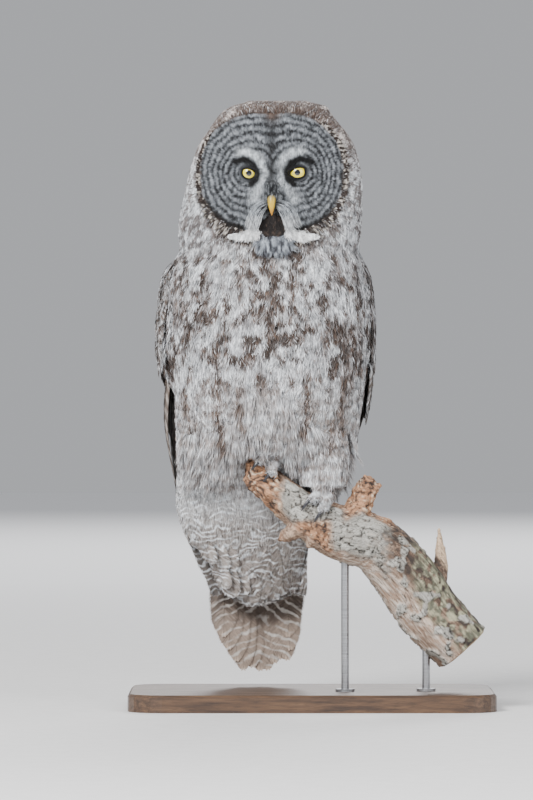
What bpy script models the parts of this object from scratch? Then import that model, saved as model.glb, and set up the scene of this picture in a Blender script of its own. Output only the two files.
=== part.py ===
"""A great grey owl at life size, perched on a cut length of dead branch over a flat display base.

Sizes are millimetres, turned into metres where a mesh is made. The origin is the middle of the
base's underside, +Z is up and the owl faces -Y, so its own right side is at -X. The bird is built
as closed lofts parted at level planes, with its flight, tail and covert feathers as single vanes
set on those lofts and fused to the piece that they grow from.
"""

import math
import random

import bmesh
import bpy
import numpy as np

for old in list(bpy.data.objects):
    bpy.data.objects.remove(old)

MM = 0.001
GAP = 0.3
random.seed(7)

# The owl's upright axis stands left of the base's middle, so that bird and branch balance on it.
AXIS_X = -55.0
CROWN_Z = 700.0

# Where the body is parted by level cuts.
CHIN_Z = 528.0
SHOULDER_Z = 508.0
RUMP_Z = 232.0
VENT_END_Z = 140.0

# Body outline by height: reach left and right of the axis, and the front and back depths.
BODY = np.array(
    [
        (560, -98, 110, -80, 80),
        (528, -97, 110, -83, 82),
        (508, -105, 116, -90, 84),
        (463, -108, 120, -101, 87),
        (417, -108, 119, -104, 88),
        (371, -103, 116, -99, 86),
        (325, -102, 110, -82, 84),
        (290, -101, 105, -56, 82),
        (262, -101, 98, -30, 80),
        (232, -102, 80, -14, 78),
        (205, -95, 60, -4, 66),
        (175, -80, 50, 12, 60),
        (150, -65, 47, 28, 60),
        (110, -58, 46, 54, 62),
    ],
    float,
)
# Where the folded wings pass over rump and tail, the back stays this deep below the rump.
MANTLE_BACK = 90.0
BODY_ROUNDNESS = 2.25
BODY_SIDES = 32

COLOURS = {
    "plumage": ((0.47, 0.45, 0.44), 0.9, 0.0),
    "face": ((0.3, 0.32, 0.34), 0.9, 0.0),
    "flight": ((0.26, 0.2, 0.17), 0.8, 0.0),
    "iris": ((0.78, 0.66, 0.1), 0.12, 0.0),
    "horn": ((0.62, 0.52, 0.2), 0.4, 0.0),
    "claw": ((0.03, 0.03, 0.035), 0.35, 0.0),
    "wood": ((0.42, 0.33, 0.26), 0.85, 0.0),
    "board": ((0.09, 0.055, 0.035), 0.4, 0.0),
    "steel": ((0.5, 0.5, 0.5), 0.3, 1.0),
}


def material(kind):
    """The named finish, made the first time that it is asked for."""
    made = bpy.data.materials.get(kind)
    if made:
        return made
    colour, roughness, metallic = COLOURS[kind]
    made = bpy.data.materials.new(kind)
    made.use_nodes = True
    shader = made.node_tree.nodes["Principled BSDF"]
    shader.inputs["Base Color"].default_value = (*colour, 1)
    shader.inputs["Roughness"].default_value = roughness
    shader.inputs["Metallic"].default_value = metallic
    return made


def solid(name, points, faces, kind="plumage"):
    """One closed mesh object from points in millimetres, turned so that its faces point out."""
    points = np.asarray(points, float)
    faces = np.asarray(faces, int)
    corners = points[faces]
    if np.linalg.det(corners - points.mean(0)).sum() < 0:
        faces = faces[:, ::-1]
    mesh = bpy.data.meshes.new(name)
    mesh.from_pydata((points * MM).tolist(), [], faces.tolist())
    mesh.materials.append(material(kind))
    made = bpy.data.objects.new(name, mesh)
    bpy.context.scene.collection.objects.link(made)
    return made


def skin_faces(rows, columns, flipped=()):
    """Triangles of a closed tube of rings; the flipped columns are split the other way."""
    faces = []
    for i in range(rows - 1):
        for j in range(columns):
            k = (j + 1) % columns
            a, b = i * columns + j, i * columns + k
            d, c = a + columns, b + columns
            if j in flipped:
                faces += [(a, b, d), (b, c, d)]
            else:
                faces += [(a, b, c), (a, c, d)]
    return faces


def loft(name, rings, kind="plumage"):
    """A closed body through rings of equally many points, its ends closed by fans."""
    rings = [np.asarray(ring, float) for ring in rings]
    rows, columns = len(rings), len(rings[0])
    points = np.concatenate(rings + [rings[0].mean(0)[None], rings[-1].mean(0)[None]])
    faces = skin_faces(rows, columns)
    first, last = rows * columns, rows * columns + 1
    for j in range(columns):
        k = (j + 1) % columns
        faces.append((k, j, first))
        faces.append(((rows - 1) * columns + j, (rows - 1) * columns + k, last))
    return solid(name, points, faces, kind)


def unit(vectors):
    return vectors / np.maximum(np.linalg.norm(vectors, axis=-1, keepdims=True), 1e-9)


def vane(name, centres, normals, widths, thick, lean=0.0, towards=None):
    """One feather: a thin plate along its shaft, both faces split alike.

    lean drops the edge on the towards side, so that neighbours lie over one another like slates.
    """
    centres, normals = np.asarray(centres, float), unit(np.asarray(normals, float))
    along = unit(np.gradient(centres, axis=0))
    across = unit(np.cross(along, normals))
    if towards is not None and (across * towards).sum() < 0:
        across = -across
    up = unit(np.cross(across, along))
    up *= np.sign((up * normals).sum(1))[:, None]
    half = np.asarray(widths, float)[:, None] / 2
    thick = np.broadcast_to(np.asarray(thick, float), len(centres))[:, None] / 2
    drop = half * lean
    near = centres - across * half + up * drop
    far = centres + across * half - up * drop
    rings = np.stack(
        [near + up * thick, far + up * thick, far - up * thick, near - up * thick], axis=1
    )
    faces = skin_faces(len(centres), 4, flipped=(2,))
    cap = [(0, 1, 3), (1, 2, 3)]
    last = (len(centres) - 1) * 4
    faces += [(a, c, b) for a, b, c in cap]
    faces += [(a + last, b + last, c + last) for a, b, c in cap]
    return solid(name, rings.reshape(-1, 3), faces)


def applied(part):
    """Turns a part's modifiers into its mesh."""
    graph = bpy.context.evaluated_depsgraph_get()
    mesh = bpy.data.meshes.new_from_object(part.evaluated_get(graph))
    part.modifiers.clear()
    before = part.data
    part.data = mesh
    bpy.data.meshes.remove(before)


def keep_largest(part):
    """Leaves only the closed surface that holds the most."""
    shape = bmesh.new()
    shape.from_mesh(part.data)
    bmesh.ops.remove_doubles(shape, verts=shape.verts, dist=0.002 * MM)
    thinner = shape.copy()
    bmesh.ops.dissolve_limit(
        thinner, angle_limit=math.radians(0.3), verts=thinner.verts, edges=thinner.edges
    )
    bmesh.ops.triangulate(thinner, faces=thinner.faces)
    if all(edge.is_manifold for edge in thinner.edges):
        shape, thinner = thinner, shape
    thinner.free()
    bmesh.ops.triangulate(shape, faces=shape.faces)
    left = set(shape.verts)
    shells = []
    while left:
        seen = {left.pop()}
        edge = list(seen)
        while edge:
            near = {e.other_vert(v) for v in edge for e in v.link_edges} - seen
            seen |= near
            edge = list(near)
        left -= seen
        volume = 0.0
        for face in {f for v in seen for f in v.link_faces}:
            a, b, c = (v.co for v in face.verts)
            volume += a.dot(b.cross(c)) / 6
        shells.append((volume, seen))
    best = max(shells, key=lambda shell: shell[0])[1]
    bmesh.ops.delete(shape, geom=[v for v in shape.verts if v not in best], context="VERTS")
    shape.to_mesh(part.data)
    shape.free()


def combine(part, others, operation, solver):
    """One Boolean of a part with a collection of closed meshes, which it uses up."""
    group = bpy.data.collections.new("tools")
    bpy.context.scene.collection.children.link(group)
    for other in others:
        bpy.context.scene.collection.objects.unlink(other)
        group.objects.link(other)
    step = part.modifiers.new("combine", "BOOLEAN")
    step.operation = operation
    step.operand_type = "COLLECTION"
    step.collection = group
    step.solver = solver
    applied(part)
    for other in others:
        bpy.data.objects.remove(other)
    bpy.data.collections.remove(group)


def fuse(part, others):
    combine(part, others, "UNION", "MANIFOLD")
    keep_largest(part)


def carve(part, others):
    combine(part, others, "DIFFERENCE", "MANIFOLD")
    keep_largest(part)


def finish(part, kind, angle=40):
    """The part's own finish, with round faces shaded smooth."""
    part.data.materials.clear()
    part.data.materials.append(material(kind))
    part.data.shade_smooth()
    part.data.set_sharp_from_angle(angle=math.radians(angle))


def at(table, height):
    """A table's other columns at a height, on a smooth curve through its rows."""
    table = table[np.argsort(table[:, 0])]
    heights, values = table[:, 0], table[:, 1:]
    slopes = np.gradient(values, heights, axis=0)
    height = min(max(height, heights[0]), heights[-1])
    i = min(np.searchsorted(heights, height, side="right") - 1, len(heights) - 2)
    step = heights[i + 1] - heights[i]
    t = (height - heights[i]) / step
    return (
        values[i] * (2 * t**3 - 3 * t**2 + 1)
        + slopes[i] * step * (t**3 - 2 * t**2 + t)
        + values[i + 1] * (3 * t**2 - 2 * t**3)
        + slopes[i + 1] * step * (t**3 - t**2)
    )


def rounded(angle, roundness):
    """Sine and cosine of a ring that is fuller than an ellipse."""
    s, c = math.sin(angle), math.cos(angle)
    power = 2 / roundness
    return math.copysign(abs(s) ** power, s), math.copysign(abs(c) ** power, c)


def body_point(turn, height, out=0.0, back=None):
    """A point of the body's surface. turn is in degrees from the breast, towards the owl's left."""
    left, right, front, rear = at(BODY, height)
    if back is not None:
        rear = max(rear, back)
    s, c = rounded(math.radians(turn), BODY_ROUNDNESS)
    x = AXIS_X + (left + right) / 2 + s * ((right - left) / 2 + out)
    y = (front + rear) / 2 - c * ((rear - front) / 2 + out)
    return np.array((x, y, height))


def body_normal(turn, height, back=None):
    """The way out of the body's surface there."""
    ahead = body_point(turn + 1, height, 0, back) - body_point(turn - 1, height, 0, back)
    up = body_point(turn, height + 2, 0, back) - body_point(turn, height - 2, 0, back)
    return unit(np.cross(ahead, up))


def body_rings(heights, out=0.0, sides=BODY_SIDES):
    turns = [360 * k / sides for k in range(sides)]
    return [[body_point(turn, height, out) for turn in turns] for height in heights]


def body_feather(name, root, tip, width, outs, thick=1.0, lean=0.1, steps=4, back=None):
    """A feather laid on the body from root to tip, each (turn, height), at its outs above it."""
    shape = {
        4: ((0, 0.45), (0.35, 0.95), (0.75, 0.9), (1, 0.3)),
        5: ((0, 0.45), (0.3, 0.92), (0.62, 1), (0.87, 0.8), (1, 0.22)),
    }[steps]
    centres, normals, widths = [], [], []
    for s, share in shape:
        turn = root[0] + (tip[0] - root[0]) * s
        height = root[1] + (tip[1] - root[1]) * s
        out = outs[0] + (outs[1] - outs[0]) * s
        centres.append(body_point(turn, height, out, back))
        normals.append(body_normal(turn, height, back))
        widths.append(width * share)
    middle = [(a + b) / 2 for a, b in zip(root, tip)]
    sign = math.copysign(1, root[0] + tip[0])
    towards = body_point(middle[0] + sign, middle[1], 0, back) - body_point(*middle, 0, back)
    return vane(name, centres, normals, widths, thick, lean, towards)


# Head, seen square from the front: the face's middle lies between the eyes.
FACE_X = AXIS_X + 9.0
FACE_Z = 612.0
DISC_HALF_WIDTH = 84.0
DISC_UP = 71.0
DISC_DOWN = 70.0
HEAD_MIDDLE_X = AXIS_X + 12.5
HEAD_WIDEST_Y = -6.0
HEAD_BACK_Y = 86.0
FACE_FRONT_Y = -92.0
RIM_Y = -62.0
RIM_BOTTOM_Y = -84.0
HEAD_SIDES = 32

EYE_X = 28.0
EYE_Z = 1.5
EYE_RADIUS = 9.4
EYE_DEPTH = 4.4
LID_RADIUS = 8.2
LID_THICK = 1.7


# Head outline by height: reach left and right of the owl's axis. Below it runs on into the neck.
HEAD_OUTLINE = np.array(
    [
        (420, -97, 110),
        (528, -97, 110),
        (545, -99, 112),
        (567, -97, 113),
        (590, -92, 114),
        (613, -87, 113),
        (636, -80, 108),
        (650, -74, 103),
        (663, -65, 95),
        (675, -57, 85),
        (685, -49, 77),
        (693, -36, 71),
        (698, -18, 52),
    ],
    float,
)


def face_depth(x, z):
    """How far forward the face lies at a place measured from its middle."""
    down = DISC_DOWN if z < 0 else DISC_UP
    reach = min(1.0, math.hypot(x / DISC_HALF_WIDTH, z / down))
    rim = RIM_Y + (RIM_BOTTOM_Y - RIM_Y) * max(0.0, -z / math.hypot(x, z)) ** 2 if z < 0 else RIM_Y
    y = FACE_FRONT_Y + (rim - FACE_FRONT_Y) * reach**1.5
    dish = math.exp(-(((abs(x) - 46) / 26) ** 2) - ((z + 4) / 34) ** 2)
    socket = math.exp(-(((abs(x) - EYE_X) / 11) ** 2) - ((z - EYE_Z) / 11) ** 2)
    ridge = math.exp(-((x / 10) ** 2)) * math.exp(-(((z + 8) / 40) ** 2))
    cheek = math.exp(-(((abs(x) - 17) / 11) ** 2) - ((z + 44) / 17) ** 2)
    return y + 7 * dish + 4 * socket - 5 * ridge - 5 * cheek


def rim_radius(angle):
    """The disc's edge in a direction from the face's middle."""
    c, s = math.cos(angle), math.sin(angle)
    half = DISC_UP if s > 0 else DISC_DOWN
    round_edge = (abs(c / DISC_HALF_WIDTH) ** 2.3 + abs(s / half) ** 2.3) ** (-1 / 2.3)
    notch = 3.0 * math.exp(-(((angle - math.pi / 2) / 0.16) ** 2))
    return round_edge - notch


def outline_radius(angle):
    """The head's own outline in a direction from its middle."""
    c, s = math.cos(angle), math.sin(angle)
    inside, outside = 20.0, 170.0
    for _ in range(30):
        radius = (inside + outside) / 2
        left, right = at(HEAD_OUTLINE, FACE_Z + radius * s) + (AXIS_X - HEAD_MIDDLE_X)
        if left < radius * c < right and FACE_Z + radius * s < CROWN_Z - 1:
            inside = radius
        else:
            outside = radius
    return inside


def head_point(step, angle):
    """A point of the head: step 0 to 1 from the face's middle to the rim, 2 at the nape's pole."""
    c, s = math.cos(angle), math.sin(angle)
    rim = rim_radius(angle)
    if step <= 1:
        radius = rim * step
        y = face_depth(radius * c, radius * s or 1e-6)
        return np.array((FACE_X + radius * c, y, FACE_Z + radius * s))
    edge_y = face_depth(rim * c, rim * s or 1e-6)
    out = outline_radius(angle)
    if step <= 1.4:
        q = (step - 1) / 0.4 * math.pi / 2
        radius = rim + (out - rim) * math.sin(q)
        y = HEAD_WIDEST_Y + (edge_y - HEAD_WIDEST_Y) * math.cos(q)
        shift = (HEAD_MIDDLE_X - FACE_X) * math.sin(q)
    else:
        q = (step - 1.4) / 0.6 * math.pi / 2
        radius = out * max(math.cos(q), 0) ** 0.9
        y = HEAD_WIDEST_Y + (HEAD_BACK_Y - HEAD_WIDEST_Y) * math.sin(q)
        shift = HEAD_MIDDLE_X - FACE_X
    return np.array((FACE_X + shift + radius * c, y, FACE_Z + radius * s))


def ball(name, centre, radius, rows=8, columns=12, squash=(1, 1, 1)):
    """A closed ball with its poles along Y."""
    rings = []
    for i in range(1, rows):
        a = math.pi * i / rows
        ring = []
        for j in range(columns):
            b = 2 * math.pi * j / columns
            way = (math.sin(a) * math.cos(b), -math.cos(a), math.sin(a) * math.sin(b))
            ring.append([centre[k] + radius * squash[k] * way[k] for k in range(3)])
        rings.append(ring)
    return loft(name, rings)


def level_cut(part, height, keep_above):
    """Parts a closed piece at a level and closes it again."""
    shape = bmesh.new()
    shape.from_mesh(part.data)
    found = bmesh.ops.bisect_plane(
        shape,
        geom=shape.verts[:] + shape.edges[:] + shape.faces[:],
        dist=0.0005 * MM,
        plane_co=(0, 0, height * MM),
        plane_no=(0, 0, -1 if keep_above else 1),
        clear_outer=True,
    )
    edges = [e for e in found["geom_cut"] if isinstance(e, bmesh.types.BMEdge)]
    made = bmesh.ops.contextual_create(shape, geom=edges)
    bmesh.ops.triangulate(shape, faces=made["faces"])
    bmesh.ops.recalc_face_normals(shape, faces=shape.faces)
    shape.to_mesh(part.data)
    shape.free()


def tube(name, centres, radii, sides, kind="plumage", flat=1.0, across=(0, -1, 0)):
    """A round body along a path; flat squashes it square to the across direction."""
    centres, radii = np.asarray(centres, float), np.asarray(radii, float)
    along = unit(np.gradient(centres, axis=0))
    across = np.broadcast_to(np.asarray(across, float), along.shape)
    across = unit(across - along * (along * across).sum(1, keepdims=True))
    upward = np.cross(across, along)
    rings = []
    for c, r, a, u in zip(centres, radii, across, upward):
        angles = 2 * math.pi * np.arange(sides) / sides
        rings.append(c + r * (np.cos(angles)[:, None] * a + flat * np.sin(angles)[:, None] * u))
    return loft(name, rings, kind)


def eye_middle(side):
    """The eyeball lies straight in from the middle of its lids."""
    x = side * EYE_X
    y = face_depth(x, EYE_Z)
    slope = np.array((face_depth(x + 3, EYE_Z) - y, -3, face_depth(x, EYE_Z + 3) - y))
    return np.array((FACE_X + x, y, FACE_Z + EYE_Z)) - unit(slope) * EYE_DEPTH


def lid_ring(name, side):
    """The eyelids: an almond ring that dips towards the bill, fused into the face."""
    rings = []
    for k in range(12):
        a = 2 * math.pi * k / 12
        c, s = math.cos(a), math.sin(a)
        inner = max(0.0, -side * c) ** 6
        x = LID_RADIUS * c * (1 + 0.14 * inner)
        z = LID_RADIUS * 0.84 * s - 1.2 * inner
        out = unit(np.array((c, 0, s)))
        y = face_depth(side * EYE_X + x, EYE_Z + z) - 0.8
        centre = np.array((FACE_X + side * EYE_X + x, y, FACE_Z + EYE_Z + z))
        ring = []
        for j in range(5):
            b = 2 * math.pi * j / 5
            ring.append(centre + LID_THICK * (math.cos(b) * out + math.sin(b) * np.array((0, -1, 0))))
        rings.append(ring)
    points = np.concatenate(rings)
    faces = [
        tuple(v % len(points) for v in face) for face in skin_faces(13, 5)
    ]
    return solid(name, points, faces)


# Bill: the upper hook and the lower wedge that it closes over.
BILL_PATH = ((0, -82, -20), (0, -94, -22), (0, -101, -28), (0, -104, -36), (0, -104, -43), (0, -102, -49))
BILL_RADII = (5.6, 5.5, 5.0, 3.8, 2.2, 0.5)
LOWER_PATH = ((0, -82, -34), (0, -92, -37), (0, -97, -40), (0, -99, -44))
LOWER_RADII = (4.0, 3.8, 3.0, 0.8)


def bill(name, path, radii, grow=0.0):
    """One half of the bill, a tapering horn that bends down. Its base lies in the face."""
    centres = np.array(path, float) + (FACE_X, 0, FACE_Z)
    return tube(name, centres, np.array(radii) + grow, 8, "horn", 1.1, (1, 0, 0))


def make_bill():
    upper = bill("bill_upper", BILL_PATH, BILL_RADII)
    pits = [
        ball("pit", (FACE_X + side * 5.1, -97.0, FACE_Z - 23.0), 1.3, 4, 6) for side in (-1, 1)
    ]
    carve(upper, pits)
    lower = bill("bill_lower", LOWER_PATH, LOWER_RADII)
    carve(lower, [bill("hook", BILL_PATH, BILL_RADII, GAP)])
    finish(upper, "horn")
    finish(lower, "horn")


RUFF_COUNT = 26
RUFF_LENGTH = 17.0
RUFF_WIDTH = 19.0


def ruff():
    """The stiff short feathers that rim the facial disc."""
    made = []
    for k in range(RUFF_COUNT):
        angle = 2 * math.pi * (k + 0.5) / RUFF_COUNT
        out = np.array((math.cos(angle), 0, math.sin(angle)))
        rim = head_point(1.0, angle)
        length = RUFF_LENGTH * (1 + 0.12 * random.uniform(-1, 1))
        behind = unit(head_point(1.25, angle) - rim)
        centres = [
            rim - out * 4 + np.array((0, 2.5, 0)),
            rim + out * 1.8 + np.array((0, -2.4, 0)),
            rim + behind * length + out * 2.6 + np.array((0, -0.5, 0)),
        ]
        normal = unit(0.8 * out + np.array((0, -1.0, 0)))
        widths = [RUFF_WIDTH * share for share in (0.7, 1.0, 0.35)]
        made.append(vane("ruff", centres, [normal] * 3, widths, 1.1, 0.12))
    return made


MOUSTACHE_LOCKS = 5
CHIN_LOCKS = 3


def moustache():
    """Bristly locks that spring from beside the bill and sweep down to the pale bars below it."""
    made = []
    for side in (-1, 1):
        for k in range(MOUSTACHE_LOCKS):
            share = k / (MOUSTACHE_LOCKS - 1)
            x0, z0 = 8 + 18 * share, -40 - 8 * (1 - share)
            x1, z1 = 12 + 35 * share, -80 + 8 * share**2
            centres, normals = [], []
            for s, lift in ((0, -2.5), (0.3, 2.5), (0.65, 3.2), (1, 1.8)):
                x, z = x0 + (x1 - x0) * s**1.2, z0 + (z1 - z0) * s
                y = min(face_depth(side * x, z), RIM_BOTTOM_Y) - lift
                centres.append((FACE_X + side * x, y, FACE_Z + z))
                normals.append((side * 0.2, -1, 0.1))
            widths = (4, 9, 9, 2.5)
            made.append(vane("lock", centres, normals, widths, 1.2, 0.15, towards=(side, 0, 0)))
    for k in range(CHIN_LOCKS):
        x = 7.0 * (k - (CHIN_LOCKS - 1) / 2)
        centres = [
            (FACE_X + x * (0.6 + 0.4 * s), -88 - lift, FACE_Z - 52 - 32 * s)
            for s, lift in ((0, -3), (0.35, 2.0), (0.7, 3.0), (1, 2.5))
        ]
        made.append(vane("beard", centres, [(0, -1, 0)] * 4, (5, 8, 8, 2.5), 1.2, 0.1, (1, 0, 0)))
    return made


def make_head():
    steps = (0.16, 0.4, 0.64, 0.86, 1.0, 1.08, 1.22, 1.4, 1.58, 1.75, 1.9)
    angles = [2 * math.pi * k / HEAD_SIDES for k in range(HEAD_SIDES)]
    head = loft("head", [[head_point(step, angle) for angle in angles] for step in steps])
    lids = [lid_ring("lid", side) for side in (-1, 1)]
    fuse(head, lids + ruff() + moustache())
    eyes = [ball("socket", eye_middle(side), EYE_RADIUS + GAP) for side in (-1, 1)]
    upper = bill("hook", BILL_PATH, BILL_RADII, GAP)
    lower = bill("wedge", LOWER_PATH, LOWER_RADII, GAP)
    carve(head, eyes + [upper, lower])
    level_cut(head, CHIN_Z + GAP / 2, keep_above=True)
    keep_largest(head)
    finish(head, "face")


def make_eyes():
    for side, name in ((-1, "eye_right"), (1, "eye_left")):
        finish(ball(name, eye_middle(side), EYE_RADIUS), "iris", 60)


def neck_body(name, out=0.0):
    """The short column between head and shoulders."""
    low, high = SHOULDER_Z + GAP / 2 - out, CHIN_Z - GAP / 2 + out
    return loft(name, body_rings((low, (CHIN_Z + SHOULDER_Z) / 2, high), out))


def make_neck():
    finish(neck_body("neck"), "plumage")


# Branch: a weathered limb that falls to the owl's left, by (x from the owl's axis, depth, height, radius).
LIMB = (
    (-16, -46, 274, 16),
    (-4, -46, 265, 19),
    (14, -46, 250, 21.5),
    (44, -46, 226, 25),
    (84, -45, 202, 31),
    (128, -42, 188, 34.5),
    (163, -38, 153, 36),
    (190, -34, 114, 36),
    (229, -30, 70, 35.5),
)
LIMB_SIDES = 12
LIMB_STATIONS = 15
SOCKET_DEPTH = 14.0


def limb_at(t):
    """Middle and radius of the limb, t from 0 at the broken end to 1 at the saw cut."""
    table = np.array([(k / (len(LIMB) - 1), *row) for k, row in enumerate(LIMB)], float)
    x, y, z, radius = at(table, t)
    return np.array((AXIS_X + x, y, z)), radius


def limb_along(t):
    return unit(limb_at(min(t + 0.01, 1))[0] - limb_at(max(t - 0.01, 0))[0])


def limb_body(name, grow=0.0, rough=True):
    """The limb's own body, a little lumpy and fluted like wood that has lost its bark."""
    rings = []
    for i in range(LIMB_STATIONS):
        t = i / (LIMB_STATIONS - 1)
        centre, radius = limb_at(t)
        along = limb_along(t)
        front = np.array((0.0, -1.0, 0.0))
        front = unit(front - along * front.dot(along))
        up = np.cross(front, along)
        up *= math.copysign(1, up[2])
        ring = []
        for j in range(LIMB_SIDES):
            a = 2 * math.pi * j / LIMB_SIDES
            lump = 1 + 0.035 * math.sin(3 * a + 6 * t) + 0.03 * math.sin(5 * a - 9 * t)
            lump += 0.03 * math.sin(17 * t + 2 * a)
            if i == 0:
                lump *= 0.82
            reach = radius * (lump if rough else 1.06) + grow
            ring.append(centre + reach * (math.cos(a) * up + math.sin(a) * front))
        if i == 0:
            ring = [p - along * grow for p in ring]
        rings.append(ring)
    return loft(name, rings, "wood")


# Broken stubs on the limb: paths from the owl's axis, and radii.
STUBS = {
    "top_stub": (((-8, -46, 276), (-10, -46, 286), (-12, -45, 293)), (14, 10, 4)),
    "lip": (((46, -52, 212), (34, -54, 204), (24, -55, 198), (16, -55, 194)), (17, 11, 8, 3)),
    "low_lip": (((62, -54, 206), (56, -56, 194), (50, -56, 185)), (16, 10, 3)),
    "knob": (((106, -44, 222), (112, -44, 240), (117, -44, 254), (121, -45, 267)), (17, 14, 14, 7)),
    "knob_tip": (((117, -44, 250), (127, -46, 252), (134, -46, 258)), (8, 6, 3.5)),
    "spur": (((196, -34, 128), (203, -34, 160), (202, -34, 185), (201, -34, 208)), (12, 9, 6, 1.0)),
}


def stub(name, grow=0.0):
    path, radii = STUBS[name]
    centres = np.array(path, float) + (AXIS_X, 0, 0)
    radii = np.array(radii, float) * [1 + 0.08 * math.sin(5 * k) for k in range(len(radii))] + grow
    return tube(name, centres, radii, 10, "wood", flat=0.8 if name == "spur" else 1.0)


def branch_body(name, grow=0.0):
    limb = limb_body(name, grow)
    fuse(limb, [stub(key, grow) for key in STUBS])
    return limb


# Display stand: a flat board and two short rods in sockets under the limb.
BOARD_LENGTH, BOARD_WIDTH, BOARD_HEIGHT = 420.0, 250.0, 20.0
ROD_RADIUS = 4.5
ROD_PLACES = ((93.0, -44.5), (186.0, -35.0))
FLANGE_RADIUS, FLANGE_HEIGHT = 11.0, 3.0


def underside(x):
    """Height of the limb's underside over a place along X, and its depth."""
    best = min((limb_at(k / 200) for k in range(201)), key=lambda found: abs(found[0][0] - x))
    slope = limb_along(0.5)
    return best[0][2] - best[1] / max(abs(slope[0]), 0.6), best[0][1]


def rod_top(place):
    x = AXIS_X + place[0]
    return underside(x)[0] + SOCKET_DEPTH


def upright(name, place, low, high, radius, sides=12):
    angles = [2 * math.pi * k / sides for k in range(sides)]
    x, y = AXIS_X + place[0], place[1]
    rings = [
        [(x + radius * math.cos(a), y + radius * math.sin(a), z) for a in angles] for z in (low, high)
    ]
    return loft(name, rings, "steel")


def make_branch():
    branch = branch_body("perch_branch")
    carve(
        branch,
        [
            upright("drill", place, 0, rod_top(place) + GAP, ROD_RADIUS + GAP)
            for place in ROD_PLACES
        ],
    )
    finish(branch, "wood", 50)


def make_stand():
    length, width = BOARD_LENGTH / 2, BOARD_WIDTH / 2
    shape = bmesh.new()
    bmesh.ops.create_cube(shape, size=1)
    bmesh.ops.scale(shape, verts=shape.verts, vec=(2 * length * MM, 2 * width * MM, BOARD_HEIGHT * MM))
    bmesh.ops.translate(shape, verts=shape.verts, vec=(0, 0, BOARD_HEIGHT / 2 * MM))
    upright_edges = [e for e in shape.edges if abs(e.verts[0].co.z - e.verts[1].co.z) > 0.001]
    bmesh.ops.bevel(shape, geom=upright_edges, offset=40 * MM, segments=5, profile=0.5, affect="EDGES")
    top = [e for e in shape.edges if all(v.co.z > (BOARD_HEIGHT - 0.1) * MM for v in e.verts)]
    bmesh.ops.bevel(shape, geom=top, offset=3 * MM, segments=1, profile=0.5, affect="EDGES")
    bmesh.ops.triangulate(shape, faces=shape.faces)
    mesh = bpy.data.meshes.new("stand_base")
    shape.to_mesh(mesh)
    shape.free()
    board = bpy.data.objects.new("stand_base", mesh)
    bpy.context.scene.collection.objects.link(board)
    finish(board, "board")
    for k, place in enumerate(ROD_PLACES, 1):
        low = BOARD_HEIGHT + GAP
        rod = upright(f"stand_rod_{k}", place, low, rod_top(place), ROD_RADIUS)
        fuse(rod, [upright("flange", place, low, low + FLANGE_HEIGHT, FLANGE_RADIUS, 16)])
        finish(rod, "steel")


# Feet: where each grips the limb (share of its length), and the spread of its toes.
FEET = {"right": 0.12, "left": 0.405}
TOES = ((-13.0, 1, 60.0), (6.0, 1, 66.0), (13.0, -1, 58.0), (-8.0, -1, 62.0))
TOE_RADIUS = 6.6
CLAW_RADIUS = 3.3
PAD_RADIUS = 13.0


def foot_frame(owner):
    """Middle of the limb under a foot, its radius, and the along, up and front directions."""
    t = FEET[owner]
    centre, radius = limb_at(t)
    along = limb_along(t)
    front = unit(np.array((0, -1.0, 0)) - along * -along[1])
    up = np.cross(front, along)
    up *= math.copysign(1, up[2])
    return centre, radius, along, up, front


def toe_path(owner, toe, start, end, lift, count):
    """Points over the limb's surface along one toe, from start to end in degrees off its top."""
    centre, radius, along, up, front = foot_frame(owner)
    spread, way, _ = toe
    points = []
    for k in range(count):
        s = k / (count - 1)
        a = math.radians(start + (end - start) * s)
        reach = radius + (lift[0] + (lift[1] - lift[0]) * s)
        side = spread * (0.35 + 0.65 * min(1.0, a / 1.2))
        point = centre + reach * (math.cos(a) * up + way * math.sin(a) * front) + side * along
        points.append(point)
    return points


def claw(name, owner, toe, grow=0.0):
    """One talon, curving from the toe's end down to the wood."""
    end = toe[2]
    points = toe_path(owner, toe, end - 10, end + 42, (7.0, 2.2), 5)
    radii = np.array((CLAW_RADIUS, 3.2, 2.6, 1.7, 0.4)) + grow
    return tube(name, points, radii, 6, "claw", across=foot_frame(owner)[2])


def pad(owner, grow=0.0):
    centre, radius, along, up, _ = foot_frame(owner)
    middle = centre + up * (radius + 8)
    return ball("pad", middle, PAD_RADIUS + grow, 6, 10, squash=(1.15, 1, 0.9))


def foot_body(name, owner, grow=0.0):
    foot = pad(owner, grow)
    foot.name = name
    toes = [
        tube(
            "toe",
            toe_path(owner, toe, 8, toe[2], (7.0, 6.0), 4),
            np.array((7.4, 7.4, 6.8, 4.6)) + grow,
            7,
            across=foot_frame(owner)[2],
        )
        for toe in TOES
    ]
    fuse(foot, toes)
    return foot


def make_feet():
    for owner in FEET:
        foot = foot_body(f"foot_{owner}", owner)
        claws = [claw("claw", owner, toe, GAP) for toe in TOES]
        carve(foot, claws + [branch_body("branch", GAP)])
        finish(foot, "plumage")
        for k, toe in enumerate(TOES, 1):
            piece = claw(f"claw_{owner}_{k}", owner, toe)
            carve(piece, [branch_body("branch", GAP)])
            finish(piece, "claw")


# Feathered legs: rings from the belly down to the foot, as (height above the foot, x and y radii, depth).
LEG_RINGS = ((90, 24, 24, -30), (58, 29, 27, -38), (30, 30, 28, -43), (6, 28, 24, -46))
LEG_X = {"right": 4.0, "left": 68.0}
TROUSER_LOCKS = 6


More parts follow.
